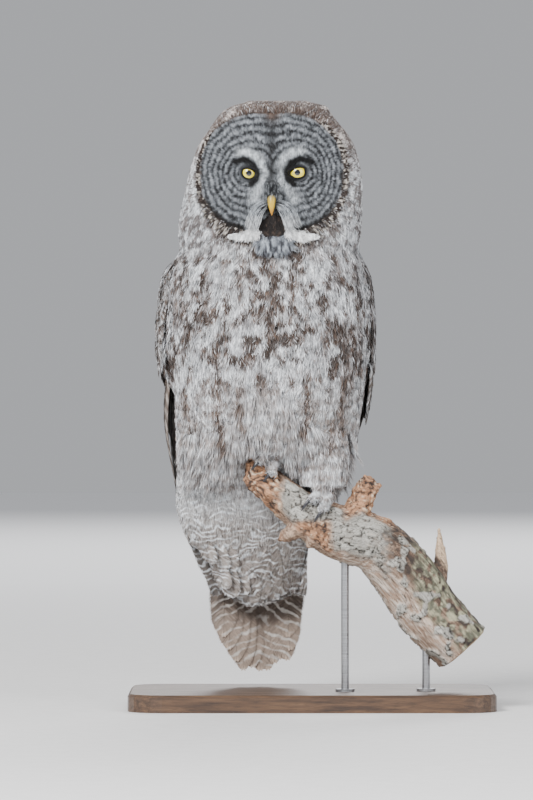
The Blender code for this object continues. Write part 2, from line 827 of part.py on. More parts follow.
def leg_body(name, owner, grow=0.0):
    """The feathered leg. Its hem of locks hangs over the foot."""
    centre, radius, along, up, front = foot_frame(owner)
    foot_top = (centre + up * (radius + 8))[2]
    sides = 12
    rings = []
    for height, rx, ry, y in LEG_RINGS:
        ring = []
        for k in range(sides):
            a = 2 * math.pi * k / sides
            x = AXIS_X + LEG_X[owner] + (rx + grow) * math.cos(a)
            ring.append((x, y + (ry + grow) * math.sin(a), foot_top + height))
        rings.append(ring)
    return loft(name, rings)


def trouser_locks(owner):
    centre, radius, along, up, front = foot_frame(owner)
    foot_top = (centre + up * (radius + 8))[2]
    made = []
    for k in range(TROUSER_LOCKS):
        a = 2 * math.pi * k / TROUSER_LOCKS
        out = np.array((math.cos(a), math.sin(a), 0))
        base = np.array((AXIS_X + LEG_X[owner], -45, foot_top))
        size = np.array((27.5, 24.0, 0))
        length = 24 + 5 * random.uniform(-1, 1)
        centres = [
            base + out * size * reach + np.array((0, 0, 24 - (24 + length) * s))
            for s, reach in ((0, 0.86), (0.3, 1.03), (0.65, 1.06), (1, 1.0))
        ]
        made.append(vane("lock", centres, [out] * 4, (22, 31, 25, 7), 1.6, 0.09))
    return made


def torso_body(name, out=0.0):
    heights = np.linspace(RUMP_Z + GAP / 2, SHOULDER_Z - GAP / 2, 12)
    heights[0] -= out
    heights[-1] += out
    return loft(name, body_rings(heights, out))


def vent_body(name, out=0.0):
    heights = [RUMP_Z - GAP / 2 + out, 205, 178, 156, VENT_END_Z - out]
    return loft(name, body_rings(heights, out, 20))


def make_legs():
    for owner in FEET:
        leg = leg_body(f"leg_{owner}", owner)
        fuse(leg, trouser_locks(owner))
        tools = [torso_body("torso", GAP), foot_body("foot", owner, GAP)]
        tools += [branch_body("branch", GAP)] + [claw("claw", owner, toe, GAP) for toe in TOES]
        carve(leg, tools)
        finish(leg, "plumage")


def cuff(owner):
    """Room round the limb for a foot to close on it under the belly feathers."""
    centre, radius, along, _, _ = foot_frame(owner)
    centres = [centre + along * shift for shift in (-31, -10, 10, 31)]
    return tube("cuff", centres, [radius + 23] * 4, 10)


def make_torso():
    torso = torso_body("torso")
    carve(torso, [branch_body("branch", 1.0)] + [cuff(owner) for owner in FEET])
    finish(torso, "plumage")


# Undertail coverts: tiers of soft broad vanes on the vent, as (root height, tip height, count, width, spread).
COVERT_TIERS = ((226, 182, 5, 46, 72), (198, 148, 5, 48, 84), (168, 112, 4, 44, 66))


def make_vent():
    vent = vent_body("vent")
    coverts = []
    for tier, (root, tip, count, width, spread) in enumerate(COVERT_TIERS):
        for k in range(count):
            turn = spread * (2 * (k + 0.5) / count - 1) - 8
            drop = 5 * random.uniform(-1, 1) - 8 * (turn / 80) ** 2
            outs = (-6.0, 4.5 - 0.5 * tier)
            coverts.append(
                body_feather("covert", (turn, root), (turn * 0.92, tip - drop), width, outs, 1.2, 0.09)
            )
    fuse(vent, coverts)
    carve(vent, [branch_body("branch", 1.0)])
    finish(vent, "plumage")


# Tail: twelve feathers, the middle pair furthest back, the outer ones stepped forward.
TAIL_PAIRS = 6
TAIL_ROOT_Z = 196.0
TAIL_X = -8.0
TAIL_FEATHER_WIDTH = 38.0
TAIL_STEP_Y = 2.2
TAIL_BACK_Y = 82.0
TAIL_TIPS = {
    -1: ((-4, 36), (-13, 40), (-24, 37), (-32, 48), (-41, 62), (-47, 77)),
    1: ((5, 37), (13, 45), (21, 50), (28, 49), (31, 61), (28, 77)),
}


def make_tail():
    rings = []
    for z, half_x, half_y in ((222, 40, 7), (200, 52, 12), (176, 50, 11), (158, 44, 5)):
        ring = []
        for k in range(16):
            a = 2 * math.pi * k / 16
            ring.append((AXIS_X + TAIL_X + half_x * math.cos(a), 72 + half_y * math.sin(a), z))
        rings.append(ring)
    tail = loft("tail", rings)
    feathers = []
    for side in (-1, 1):
        for k in range(TAIL_PAIRS):
            place = k + 0.5
            y = TAIL_BACK_Y - TAIL_STEP_Y * place - (TAIL_STEP_Y / 2 if side < 0 else 0)
            x0 = TAIL_X + side * place * 5.6
            x1 = TAIL_X + side * place * 6.9
            x2, tip = TAIL_TIPS[side][k]
            centres, widths = [], []
            for s, share in ((0, 0.5), (0.25, 0.95), (0.6, 1), (0.85, 0.8), (1, 0.2)):
                x = x0 + (x1 - x0) * min(1, s / 0.3) + (x2 - x1) * max(0, s - 0.5) / 0.5
                z = TAIL_ROOT_Z + (tip - TAIL_ROOT_Z) * s
                centres.append((AXIS_X + x, y + 7 * s, z))
                widths.append(TAIL_FEATHER_WIDTH * share)
            normals = [(0.05 * side, -1, 0)] * len(centres)
            feathers.append(vane("rectrix", centres, normals, widths, 0.8, 0.0))
    fuse(tail, feathers)
    carve(tail, [vent_body("vent", GAP), torso_body("torso", GAP)])
    finish(tail, "flight", 20)


# Folded wings. Each tier: count, root and tip as (turn, height) of its first and last feather,
# width, and the height above the body of root and tip.
WING_TIERS = {
    "primary": (6, ((95, 404), (135, 396)), ((112, 248), (165, 137)), 25, (0.0, 7.5), 0.12),
    "secondary": (6, ((98, 394), (168, 382)), ((106, 322), (171, 206)), 31, (1.0, 12.5), 0.08),
    "greater": (6, ((92, 430), (160, 420)), ((93, 362), (162, 318)), 29, (2.0, 16.0), 0.08),
    "median": (5, ((90, 466), (150, 458)), ((91, 404), (152, 384)), 33, (2.0, 15.0), 0.07),
    "scapular_low": (2, ((160, 452), (172, 440)), ((160, 366), (172, 322)), 33, (2.0, 17.5), 0.08),
    "scapular_high": (3, ((146, 500), (171, 490)), ((148, 430), (171, 398)), 38, (0.0, 15.5), 0.07),
}
PRIMARY_TIPS = (248, 215, 184, 158, 140, 137)
WING_LEAD, WING_TRAIL = 78.0, 176.0
WING_PLACE = {"right": (-1, 0.0, 4.0), "left": (1, 6.0, -4.0)}


def wing_core(name, side, shift, out):
    """The covered forearm and shoulder: a pad with a thin edge, that the feathers root in."""
    rings = []
    for height, share in ((520, 0.0), (506, 0.55), (485, 0.85), (455, 1), (405, 1), (368, 0.6)):
        lead = WING_LEAD + shift + max(0, height - 485) * 0.5 + (10 if height < 400 else 0)
        turns = np.linspace(lead, WING_TRAIL, 9)
        fullness = [0.2, 0.85, 1, 1, 1, 1, 1, 0.95, 0.6]
        outer = [
            body_point(side * turn, height, 2 + (10 + out) * share * full)
            for turn, full in zip(turns, fullness)
        ]
        inner = [body_point(side * turn, height, -4) for turn in turns[::-1]]
        rings.append(outer + inner)
    return loft(name, rings)


def make_wing(owner):
    side, shift, out = WING_PLACE[owner]
    wing = wing_core(f"wing_{owner}", side, shift, out)
    feathers = []
    for tier, (count, roots, tips, width, outs, lean) in WING_TIERS.items():
        for k in range(count):
            share = k / (count - 1)
            root = [a + (b - a) * share for a, b in zip(*roots)]
            tip = [a + (b - a) * share for a, b in zip(*tips)]
            if tier == "primary":
                tip[1] = PRIMARY_TIPS[k]
            else:
                tip[1] += 3 * random.uniform(-1, 1)
            ease = shift * (1 - share)
            feathers.append(
                body_feather(
                    tier,
                    (side * (root[0] + ease), root[1]),
                    (side * (tip[0] + ease), tip[1]),
                    width,
                    (outs[0] * (12 + out) / 12, outs[1] + out),
                    1.0,
                    lean,
                    5 if tier == "primary" else 4,
                    MANTLE_BACK,
                )
            )
    fuse(wing, feathers)
    carve(wing, [torso_body("torso", GAP), neck_body("neck", GAP), vent_body("vent", GAP)])
    finish(wing, "flight", 25)


make_head()
make_eyes()
make_bill()
make_neck()
make_torso()
make_vent()
make_tail()
for wing_owner in WING_PLACE:
    make_wing(wing_owner)
make_legs()
make_feet()
make_branch()
make_stand()
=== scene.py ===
"""A great grey owl resting on a length of dead branch, life size, on a plain display board."""

import math

import bpy
import numpy as np
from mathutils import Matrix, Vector
from mathutils.bvhtree import BVHTree


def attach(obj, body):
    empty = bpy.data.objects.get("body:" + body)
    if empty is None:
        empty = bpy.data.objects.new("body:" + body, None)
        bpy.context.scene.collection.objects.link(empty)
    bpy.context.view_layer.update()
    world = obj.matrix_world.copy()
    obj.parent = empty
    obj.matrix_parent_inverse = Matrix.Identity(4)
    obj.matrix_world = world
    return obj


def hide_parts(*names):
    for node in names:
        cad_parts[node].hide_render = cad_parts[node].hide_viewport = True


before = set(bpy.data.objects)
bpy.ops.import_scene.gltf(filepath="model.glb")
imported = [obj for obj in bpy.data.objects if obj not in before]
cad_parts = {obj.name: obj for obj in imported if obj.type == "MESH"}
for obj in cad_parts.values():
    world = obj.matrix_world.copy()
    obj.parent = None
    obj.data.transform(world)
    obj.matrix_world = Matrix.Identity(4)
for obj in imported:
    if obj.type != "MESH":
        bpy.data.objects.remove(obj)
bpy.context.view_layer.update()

# The camera stands six metres before the owl, level with the middle of its picture.
# Its frame takes in 0.923 m of height at the owl's own distance.
VIEW_DISTANCE = 6.0
VIEW_HEIGHT = 0.923
scene = bpy.context.scene
lens = bpy.data.cameras.new("camera")
lens.sensor_fit = "VERTICAL"
lens.sensor_height = 24.0
lens.lens = 24.0 * VIEW_DISTANCE / VIEW_HEIGHT
camera = bpy.data.objects.new("camera", lens)
camera.location = (-0.052, -VIEW_DISTANCE, 0.354)
camera.rotation_euler = (math.radians(90), 0, 0)
scene.collection.objects.link(camera)
scene.camera = camera


# The studio is a pale matt floor under a large soft light on each side, one behind,
# and an even pale surround that takes the place of the sky.
class Finish:
    """A procedural finish, put together node by node."""

    def __init__(self, name, **sockets):
        self.material = bpy.data.materials.new(name)
        self.material.use_nodes = True
        self.tree = self.material.node_tree
        self.shader = self.tree.nodes["Principled BSDF"]
        for socket, value in sockets.items():
            self.shader.inputs[socket.replace("_", " ")].default_value = value

    def add(self, kind, settings, *inputs):
        """A node of one kind; an input is a number, a colour, another node's output or None."""
        made = self.tree.nodes.new("ShaderNode" + kind)
        for key, value in settings.items():
            setattr(made, key, value)
        for socket, value in zip(made.inputs, inputs):
            if isinstance(value, bpy.types.NodeSocket):
                self.tree.links.new(value, socket)
            elif value is not None:
                socket.default_value = value
        return made

    def math(self, operation, *values):
        return self.add("Math", {"operation": operation}, *values).outputs[0]

    def place(self, stretch=(1, 1, 1), source=None):
        """The piece's own coordinates in metres, or another place, stretched along each axis."""
        if source is None:
            source = self.add("TexCoord", {}).outputs["Object"]
        return self.add("Mapping", {}, source, None, None, stretch).outputs[0]

    def noise(self, scale, detail=3.0, rough=0.55, bend=0.0, stretch=(1, 1, 1), source=None):
        """Noise over the piece's own coordinates, or over another place."""
        made = self.add("TexNoise", {}, self.place(stretch, source))
        settings = {"Scale": scale, "Detail": detail, "Roughness": rough, "Distortion": bend}
        for socket, value in settings.items():
            made.inputs[socket].default_value = value
        return made.outputs["Fac"]

    def ramp(self, value, *stops):
        """Colours or greys along a value, each stop as (place, colour)."""
        made = self.add("ValToRGB", {}, value)
        band = made.color_ramp
        while len(band.elements) < len(stops):
            band.elements.new(0.5)
        for element, (place, colour) in zip(band.elements, stops):
            element.position = place
            element.color = (*colour, 1) if hasattr(colour, "__len__") else (colour,) * 3 + (1,)
        return made.outputs[0]

    def mix(self, share, first, second, blend="MIX"):
        made = self.tree.nodes.new("ShaderNodeMix")
        made.data_type = "RGBA"
        made.blend_type = blend
        for number, value in ((0, share), (6, first), (7, second)):
            socket = made.inputs[number]
            if isinstance(value, bpy.types.NodeSocket):
                self.tree.links.new(value, socket)
            elif hasattr(value, "__len__"):
                socket.default_value = (*value, 1)
            else:
                socket.default_value = value
        return made.outputs[2]

    def own(self, name):
        """A colour that the mesh itself carries."""
        return self.add("Attribute", {"attribute_name": name}).outputs["Color"]

    def set(self, socket, output):
        self.tree.links.new(output, self.shader.inputs[socket])

    def bump(self, height, strength, depth):
        made = self.add("Bump", {})
        made.inputs["Strength"].default_value = strength
        made.inputs["Distance"].default_value = depth
        self.tree.links.new(height, made.inputs["Height"])
        self.set("Normal", made.outputs[0])

    def worn(self, pattern, low, high, strength, depth):
        """Roughness runs from low to high along a pattern, which also stands up in fine relief."""
        self.set("Roughness", self.ramp(pattern, (0.3, low), (0.7, high)))
        self.bump(pattern, strength, depth)

    def tinted(self, pattern, *stops):
        """The mesh's own colours, made darker and lighter by a pattern."""
        return self.mix(1.0, self.own("tint"), self.ramp(pattern, *stops), "MULTIPLY")


def srgb(*values):
    """A colour given in picture values from 0 to 255, as light."""
    share = np.array(values, float) / 255
    return np.where(share < 0.04045, share / 12.92, ((share + 0.055) / 1.055) ** 2.4)


FLOOR_RADIUS, FLOOR_SIDES = 14.0, 96
circle = [2 * math.pi * k / FLOOR_SIDES for k in range(FLOOR_SIDES)]
mesh = bpy.data.meshes.new("floor")
mesh.from_pydata(
    [(FLOOR_RADIUS * math.cos(a), FLOOR_RADIUS * math.sin(a), 0) for a in circle],
    [],
    [range(FLOOR_SIDES)],
)
floor = bpy.data.objects.new("floor", mesh)
scene.collection.objects.link(floor)
matt = Finish("floor_matt", Roughness=0.9)
speckle = matt.noise(40.0)
grey = matt.ramp(speckle, (0.3, srgb(222, 221, 220)), (0.7, srgb(228, 227, 226)))
away = matt.add("VectorMath", {"operation": "LENGTH"}, matt.place()).outputs["Value"]
far = matt.ramp(matt.math("DIVIDE", away, FLOOR_RADIUS), (0.06, 0.0), (0.3, 1.0))
matt.set("Base Color", matt.mix(far, grey, srgb(252, 252, 253)))
floor.data.materials.append(matt.material)

world = bpy.data.worlds.new("surround")
scene.world = world
world.use_nodes = True
world.node_tree.nodes["Background"].inputs["Color"].default_value = (*srgb(208, 210, 214), 1)
world.node_tree.nodes["Background"].inputs["Strength"].default_value = 0.72

# Each light: place, its side in metres, and its power.
LIGHTS = {
    "key": ((-2.0, -3.2, 3.0), 1.8, 345.0),
    "fill": ((2.8, -2.6, 1.7), 2.2, 84.0),
    "back": ((0.8, 7.5, 5.0), 3.0, 380.0),
}
for name, (place, side, power) in LIGHTS.items():
    light = bpy.data.lights.new(name, "AREA")
    light.size = side
    light.energy = power
    lamp = bpy.data.objects.new(name, light)
    lamp.location = place
    lamp.rotation_euler = (Vector((-0.04, 0, 0.38)) - Vector(place)).to_track_quat("-Z", "Y").to_euler()
    scene.collection.objects.link(lamp)


# The display board is a flat slab of dark stained wood with eased corners, waxed.
# Its shape is the frame's own; only its finish is made here.
def dress(node, finish):
    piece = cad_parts[node]
    piece.data.materials.clear()
    piece.data.materials.append(finish.material)


board = Finish("stained_wood", Roughness=0.42, Coat_Weight=0.15, Coat_Roughness=0.25)
lines = board.noise(9.0, 5.0, 0.6, 0.4, (2.2, 30, 30))
pores = board.noise(4.0, 2.0, stretch=(25, 420, 420))
stain = board.ramp(lines, (0.3, srgb(52, 38, 29)), (0.5, srgb(84, 62, 46)), (0.72, srgb(108, 82, 60)))
board.set("Base Color", board.mix(board.ramp(pores, (0.3, 0.55), (0.5, 0.0)), stain, srgb(36, 26, 20)))
board.set("Roughness", board.ramp(lines, (0.3, 0.5), (0.7, 0.36)))
board.bump(board.math("ADD", lines, pores), 0.25, 0.0006)
dress("stand_base", board)

# Two short steel rods stand in flanges on the board and end in blind holes under the branch.
# They are turned bright steel, with the fine rings that the lathe leaves.
steel = Finish("turned_steel", Metallic=1.0, Roughness=0.32)
rings = steel.noise(30.0, 2.0, stretch=(1, 1, 90))
steel.set("Base Color", steel.ramp(rings, (0.3, srgb(150, 151, 154)), (0.7, srgb(190, 191, 194))))
steel.worn(rings, 0.26, 0.42, 0.15, 0.0002)
dress("stand_rod_1", steel)
dress("stand_rod_2", steel)

# The branch is a dead limb with broken stubs: flat pale plates of old bark over tan wood,
# crumbling where it broke, bare and smooth below. It is carved as one body, then weathered.
AXIS_X = -55.0
FRONT = np.array((0.0, -1.0, 0.0))
LIMB_STEPS, LIMB_SIDES, STUB_SIDES = 150, 72, 28
LIMB_GRAIN = 1.5
# Middle of the limb from the owl's axis, depth and height, and its radius, in millimetres.
LIMB = (
    (-16, -46, 274, 16), (-4, -46, 265, 19), (14, -46, 250, 21.5),
    (44, -46, 226, 25), (84, -45, 202, 31), (128, -42, 188, 34.5),
    (163, -38, 153, 36), (190, -34, 114, 36), (229, -30, 70, 35.5),
)
# Each stub: places along its middle, and its radius at each.
STUBS = {
    "top": (((-8, -46, 274), (-10, -46, 285), (-12, -45, 293)), (14.5, 10.5, 4)),
    "lip": (((46, -52, 212), (34, -54, 204), (24, -55, 198), (16, -55, 194)), (17, 11, 8, 3)),
    "low_lip": (((62, -54, 206), (56, -56, 194), (50, -56, 185)), (16, 10, 3)),
    "knob": (((106, -44, 222), (112, -44, 240), (117, -44, 254), (121, -45, 266)), (17, 14, 13.5, 7)),
    "knob_tip": (((117, -44, 250), (127, -46, 252), (134, -46, 258)), (8, 6, 3.5)),
    "spur": (((196, -34, 128), (203, -34, 160), (202, -34, 185), (201, -34, 207)), (12, 9, 6, 1.2)),
}


def rows_at(table, places):
    """A table's other columns at many places, on smooth curves through its rows."""
    table = np.array(table, float)
    table = table[np.argsort(table[:, 0])]
    marks, values = table[:, 0], table[:, 1:]
    slopes = np.gradient(values, marks, axis=0)
    places = np.clip(np.asarray(places, float), marks[0], marks[-1])
    i = np.clip(np.searchsorted(marks, places, side="right") - 1, 0, len(marks) - 2)
    step = (marks[i + 1] - marks[i])[..., None]
    t = (places[..., None] - marks[i][..., None]) / step
    return (
        values[i] * (2 * t**3 - 3 * t**2 + 1)
        + slopes[i] * step * (t**3 - 2 * t**2 + t)
        + values[i + 1] * (3 * t**2 - 2 * t**3)
        + slopes[i + 1] * step * (t**3 - t**2)
    )


def smooth_run(rows, count):
    """Values on smooth curves through rows, which are spread evenly from end to end."""
    table = np.column_stack([np.linspace(0, 1, len(rows)), np.asarray(rows, float)])
    return rows_at(table, np.linspace(0, 1, count))


def unit(vectors):
    return vectors / np.maximum(np.linalg.norm(vectors, axis=-1, keepdims=True), 1e-9)


def dot(first, second):
    return (first * second).sum(-1)


def ease(value, low, high):
    """0 below low, 1 above high, and smooth between."""
    t = np.clip((value - low) / (high - low), 0, 1)
    return t * t * (3 - 2 * t)


def fade(value, low, high):
    """1 below low, 0 above high, and smooth between."""
    return 1 - ease(value, low, high)


def lerp(first, second, share):
    share = np.asarray(share)[..., None]
    return first * (1 - share) + second * share


def scramble(cells, seed):
    """A fixed random number from 0 to 1 for each whole-number cell."""
    cells = cells.astype(np.int64)
    mixed = cells[..., 0] * 73856093 ^ cells[..., 1] * 19349663 ^ cells[..., 2] * 83492791
    mixed = (mixed + seed * 7919) * 2246822519 & 0xFFFFFFFF
    mixed = (mixed ^ (mixed >> 15)) * 3266489917 & 0xFFFFFFFF
    mixed = (mixed ^ (mixed >> 13)) * 668265263 & 0xFFFFFFFF
    return ((mixed ^ (mixed >> 16)) & 0xFFFFFF) / 0xFFFFFF


def lumps(places, size, seed=0):
    """Smooth random values from -1 to 1, with lumps about size across."""
    places = np.asarray(places, float) / size
    low = np.floor(places)
    part = places - low
    part = part * part * (3 - 2 * part)
    total = 0
    for corner in np.ndindex(2, 2, 2):
        share = np.prod(np.where(corner, part, 1 - part), axis=-1)
        total = total + share * scramble(low + corner, seed)
    return total * 2 - 1


def mottled(places, size, seed, first, second, low, high):
    """Two colours, given in picture values, that take turns in lumps."""
    return lerp(srgb(*first), srgb(*second), ease(lumps(places, size, seed), low, high))


def plates(places, size, seed):
    """How far each place lies from a crack between plates, and its plate's own random number."""
    scaled = np.asarray(places, float) / size
    base = np.floor(scaled)
    nearest = np.full(len(scaled), 9.0)
    second = np.full(len(scaled), 9.0)
    number = np.zeros(len(scaled))
    for offset in np.ndindex(3, 3, 3):
        cell = base + offset - 1
        middle = cell + np.stack([scramble(cell, seed + k) for k in (1, 2, 3)], -1)
        away = np.linalg.norm(middle - scaled, axis=-1)
        own = scramble(cell, seed + 4)
        second = np.minimum(second, np.maximum(away, nearest))
        number = np.where(away < nearest, own, number)
        nearest = np.minimum(nearest, away)
    return second - nearest, number


def round_tube(centres, radii, sides, lump=None):
    """Points and triangles of a closed tube along centres."""
    centres = np.asarray(centres, float)
    along = unit(np.gradient(centres, axis=0))
    front = np.broadcast_to(FRONT, along.shape)
    front = unit(front - along * dot(front, along)[:, None])
    up = np.cross(front, along)
    angles = 2 * np.pi * np.arange(sides) / sides
    reach = np.broadcast_to(np.asarray(radii, float)[:, None], (len(centres), sides))
    if lump is not None:
        reach = reach * lump(np.linspace(0, 1, len(centres))[:, None], angles[None])
    rings = centres[:, None] + reach[..., None] * (
        np.cos(angles)[None, :, None] * up[:, None] + np.sin(angles)[None, :, None] * front[:, None]
    )
    return shell(rings)


def shell(rings):
    """Points and triangles of a closed body through rings."""
    rings = np.asarray(rings, float)
    rows, columns = rings.shape[:2]
    points = np.concatenate([rings.reshape(-1, 3), rings[0].mean(0)[None], rings[-1].mean(0)[None]])
    i, j = np.meshgrid(np.arange(rows - 1), np.arange(columns), indexing="ij")
    k = (j + 1) % columns
    a, b, c, d = i * columns + j, i * columns + k, (i + 1) * columns + k, (i + 1) * columns + j
    faces = [np.stack([a, b, c], -1).reshape(-1, 3), np.stack([a, c, d], -1).reshape(-1, 3)]
    first, last = rows * columns, rows * columns + 1
    j = np.arange(columns)
    k = (j + 1) % columns
    faces.append(np.stack([k, j, np.full(columns, first)], -1))
    end = (rows - 1) * columns
    faces.append(np.stack([end + j, end + k, np.full(columns, last)], -1))
    faces = np.concatenate(faces)
    corners = points[faces] - points.mean(0)
    if np.linalg.det(corners).sum() < 0:
        faces = faces[:, ::-1]
    return points, faces


def sheet(rows, columns):
    """Triangles of an open sheet with so many rows and columns of points."""
    i, j = np.meshgrid(np.arange(rows - 1), np.arange(columns - 1), indexing="ij")
    first = i * columns + j
    quads = np.stack([first, first + 1, first + columns + 1, first + columns], -1).reshape(-1, 4)
    return np.concatenate([quads[:, :3], quads[:, (0, 2, 3)]])


def new_piece(name, points, faces):
    """A mesh object from points in millimetres and triangles."""
    made = bpy.data.meshes.new(name)
    made.vertices.add(len(points))
    made.vertices.foreach_set("co", (np.asarray(points, float) * 0.001).ravel())
    faces = np.asarray(faces)
    made.loops.add(faces.size)
    made.loops.foreach_set("vertex_index", faces.ravel().astype(np.int32))
    made.polygons.add(len(faces))
    starts = np.arange(0, faces.size, faces.shape[1], dtype=np.int32)
    made.polygons.foreach_set("loop_start", starts)
    made.update(calc_edges=True)
    piece = bpy.data.objects.new(name, made)
    scene.collection.objects.link(piece)
    return piece


def melted(name, shells, grain):
    """Shells that run into each other as one closed mesh with no seams."""
    points, faces, count = [], [], 0
    for own_points, own_faces in shells:
        points.append(own_points)
        faces.append(own_faces + count)
        count += len(own_points)
    piece = new_piece(name, np.concatenate(points), np.concatenate(faces))
    step = piece.modifiers.new("melt", "REMESH")
    step.mode = "VOXEL"
    step.voxel_size = grain * 0.001
    step.use_smooth_shade = True
    shape = bpy.data.meshes.new_from_object(piece.evaluated_get(bpy.context.evaluated_depsgraph_get()))
    before = piece.data
    piece.modifiers.clear()
    piece.data = shape
    bpy.data.meshes.remove(before)
    return piece


def read(piece):
    """A mesh's points in millimetres and the ways out of its surface there."""
    points = np.zeros(len(piece.data.vertices) * 3, np.float32)
    normals = np.zeros(len(piece.data.vertices) * 3, np.float32)
    piece.data.vertices.foreach_get("co", points)
    piece.data.vertex_normals.foreach_get("vector", normals)
    return points.reshape(-1, 3).astype(float) * 1000, normals.reshape(-1, 3).astype(float)


def move_to(piece, points):
    piece.data.vertices.foreach_set("co", (points * 0.001).ravel())
    piece.data.update()


def paint(piece, colours):
    """Writes a colour for each point into the mesh, for its finish to read."""
    tint = piece.data.color_attributes.new("tint", "FLOAT_COLOR", "POINT")
    full = np.ones((len(colours), 4), np.float32)
    full[:, :3] = colours
    tint.data.foreach_set("color", full.ravel())


def settle(piece, finish, slot, *nodes):
    """The piece takes its finish, rides on the frame's one body and stands for its nodes."""
    piece.data.materials.append(finish.material)
    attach(piece, "root")
    if nodes:
        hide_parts(*nodes)


def limb_lump(t, a):
    ridges = 0.035 * np.sin(3 * a + 6 * t) + 0.03 * np.sin(5 * a - 9 * t) + 0.03 * np.sin(17 * t + 2 * a)
    return 1 + ridges


limb = smooth_run(LIMB, LIMB_STEPS)
limb_middle = limb[:, :3] + (AXIS_X, 0, 0)
limb_radius = limb[:, 3]
shells = [round_tube(limb_middle, limb_radius - 1.2, LIMB_SIDES, limb_lump)]
for path, radii in STUBS.values():
    fine = smooth_run(np.column_stack([path, radii]), 20)
    shells.append(round_tube(fine[:, :3] + (AXIS_X, 0, 0), np.maximum(fine[:, 3] - 0.8, 0.8), STUB_SIDES))
branch = melted("branch", shells, LIMB_GRAIN)
points, normals = read(branch)

# Where each point lies along the limb, and round it: 0 on top, 90 to the front, 180 below.
along_limb = unit(np.gradient(limb_middle, axis=0))
station = np.clip(np.searchsorted(limb_middle[:, 0], points[:, 0]), 0, LIMB_STEPS - 1)
for _ in range(3):
    slip = dot(points - limb_middle[station], along_limb[station]) / 1.9
    station = np.clip(np.round(station + slip).astype(int), 0, LIMB_STEPS - 1)
line = along_limb[station]
front = unit(FRONT - line * -line[:, 1:2])
up = np.cross(front, line)
up *= np.sign(up[:, 2:3])
from_middle = points - limb_middle[station]
off_middle = from_middle - line * dot(from_middle, line)[:, None]
round_angle = np.degrees(np.arctan2(dot(off_middle, front), dot(off_middle, up)))
proud = np.linalg.norm(off_middle, axis=1) - limb_radius[station] * 1.08
place_x = points[:, 0] - AXIS_X

# How far each kind of surface reaches: crumbled break, knob and lips, bark plates, bare wood.
ragged = lumps(points, 9.0, 3) * 0.6 + lumps(points, 4.0, 4) * 0.4
on_knob = ease(points[:, 2] - (226 - 0.55 * np.abs(place_x - 112)), -4, 6) * ease(place_x, 86, 98)
on_knob *= fade(place_x, 146, 152)
on_spur = ease(proud, 1.5, 4) * ease(place_x, 178, 186)
on_lip = ease(-points[:, 1], 62, 67) * ease(220 - points[:, 2], 0, 9) * fade(place_x, 70, 82)
crumbled = np.maximum.reduce([fade(place_x + 7 * ragged, 12, 24), on_knob, on_lip])
barked = ease(round_angle + 16 * ragged, 14, 34) * fade(round_angle + 16 * ragged, 112, 136)
barked *= ease(place_x + 8 * ragged, 16, 26) * fade(place_x + 16 * ragged, 128, 150)
patchy = lumps(points, 13.0, 9) + 0.4 * ragged
barked = np.maximum(barked, ease(place_x, 120, 140) * ease(patchy, 0.4, 0.5) * ease(-points[:, 1], 20, 40))
barked *= 1 - crumbled
behind = ease(np.abs(round_angle) * np.sign(-round_angle), 10, 40) * ease(patchy, -0.15, 0.0)
barked = np.maximum(barked, behind * ease(place_x, 20, 40) * (1 - crumbled))

# Plates of bark stand a millimetre proud, with dark cracks between them; broken wood is pitted.
def grained(places, long=1, thick=1):
    """Places turned to the limb's own run and shrunk, so that noise there follows the grain."""
    return np.stack([dot(places, line) / long, places[:, 1] / thick, dot(places, up) / thick], -1)


warped = grained(points + 3.4 * np.stack([lumps(points, 6.0, k) for k in (11, 12, 13)], -1))
crack, plate = plates(warped, np.array((21.0, 13.0, 13.0)), 21)
fine_crack, _ = plates(warped, np.array((4.5, 6.0, 4.5)), 31)
fibre = lumps(grained(points, 9, 1.6), 1.0, 41)
pits = 0.7 * lumps(grained(points, 6, 2.2), 1.0, 51) + 0.5 * fibre
open_crack = fade(crack, 0.02, 0.07)
rise = barked * (1.5 * (1 - open_crack) + 0.9 * plate)
rise += crumbled * (2.2 * lumps(points, 6.0, 61) + 1.3 * pits)
rise += (1 - barked) * (1 - crumbled) * (0.35 * fibre + 0.5 * lumps(points, 5.0, 71))
saw_cut = ease(dot(points - limb_middle[-1], along_limb[-1]), -1.4, -0.4)
rise = rise * (1 - saw_cut)
move_to(branch, points + normals * rise[:, None])

PLATE = lerp(srgb(158, 155, 147), srgb(192, 190, 182), plate)
WOOD = lerp(srgb(126, 98, 80), srgb(190, 164, 142), ease(fibre, -0.5, 0.5))
# Broken wood is darker where its pits sink and palest where they rise.
CRUMB = lerp(srgb(92, 62, 46), srgb(184, 138, 104), ease(pits + 0.5 * ragged, -0.45, 0.3))
CRUMB = lerp(CRUMB, srgb(226, 204, 178), ease(pits - 0.4 * ragged, 0.3, 0.7))
CHAR = srgb(44, 38, 35)
PALE = lerp(srgb(170, 142, 122), srgb(218, 204, 190), ease(fibre + 0.6 * patchy, -0.6, 0.6))
LICHEN = lerp(srgb(96, 96, 80), srgb(170, 166, 138), ease(pits, -0.3, 0.4))
shade = lerp(WOOD, PALE, ease(round_angle + 14 * ragged, 92, 116) * ease(place_x, 70, 100))
shade = lerp(shade, PALE, ease(-round_angle, 120, 150))
burnt = ease(place_x + 10 * ragged, 100, 118) * fade(np.abs(round_angle - 40), 40, 64)
shade = lerp(shade, lerp(srgb(84, 66, 55), srgb(150, 124, 104), ease(fibre + pits, -0.4, 0.7)), burnt * 0.9)
burnt *= ease(lumps(grained(points, 15, 5), 1.0, 81) + 0.5 * fibre, -0.12, 0.12)
shade = lerp(shade, CHAR, burnt * 0.9)
crust = ease(place_x + 9 * ragged, 166, 180) * fade(np.abs(round_angle - 58), 30, 52)
shade = lerp(shade, LICHEN, crust * ease(lumps(points, 5.0, 91), -0.35, -0.1))
shade = lerp(shade, PLATE * (1 + 0.07 * lumps(points, 3.0, 95))[:, None], barked)
shade = lerp(shade, srgb(26, 22, 20), barked * open_crack)
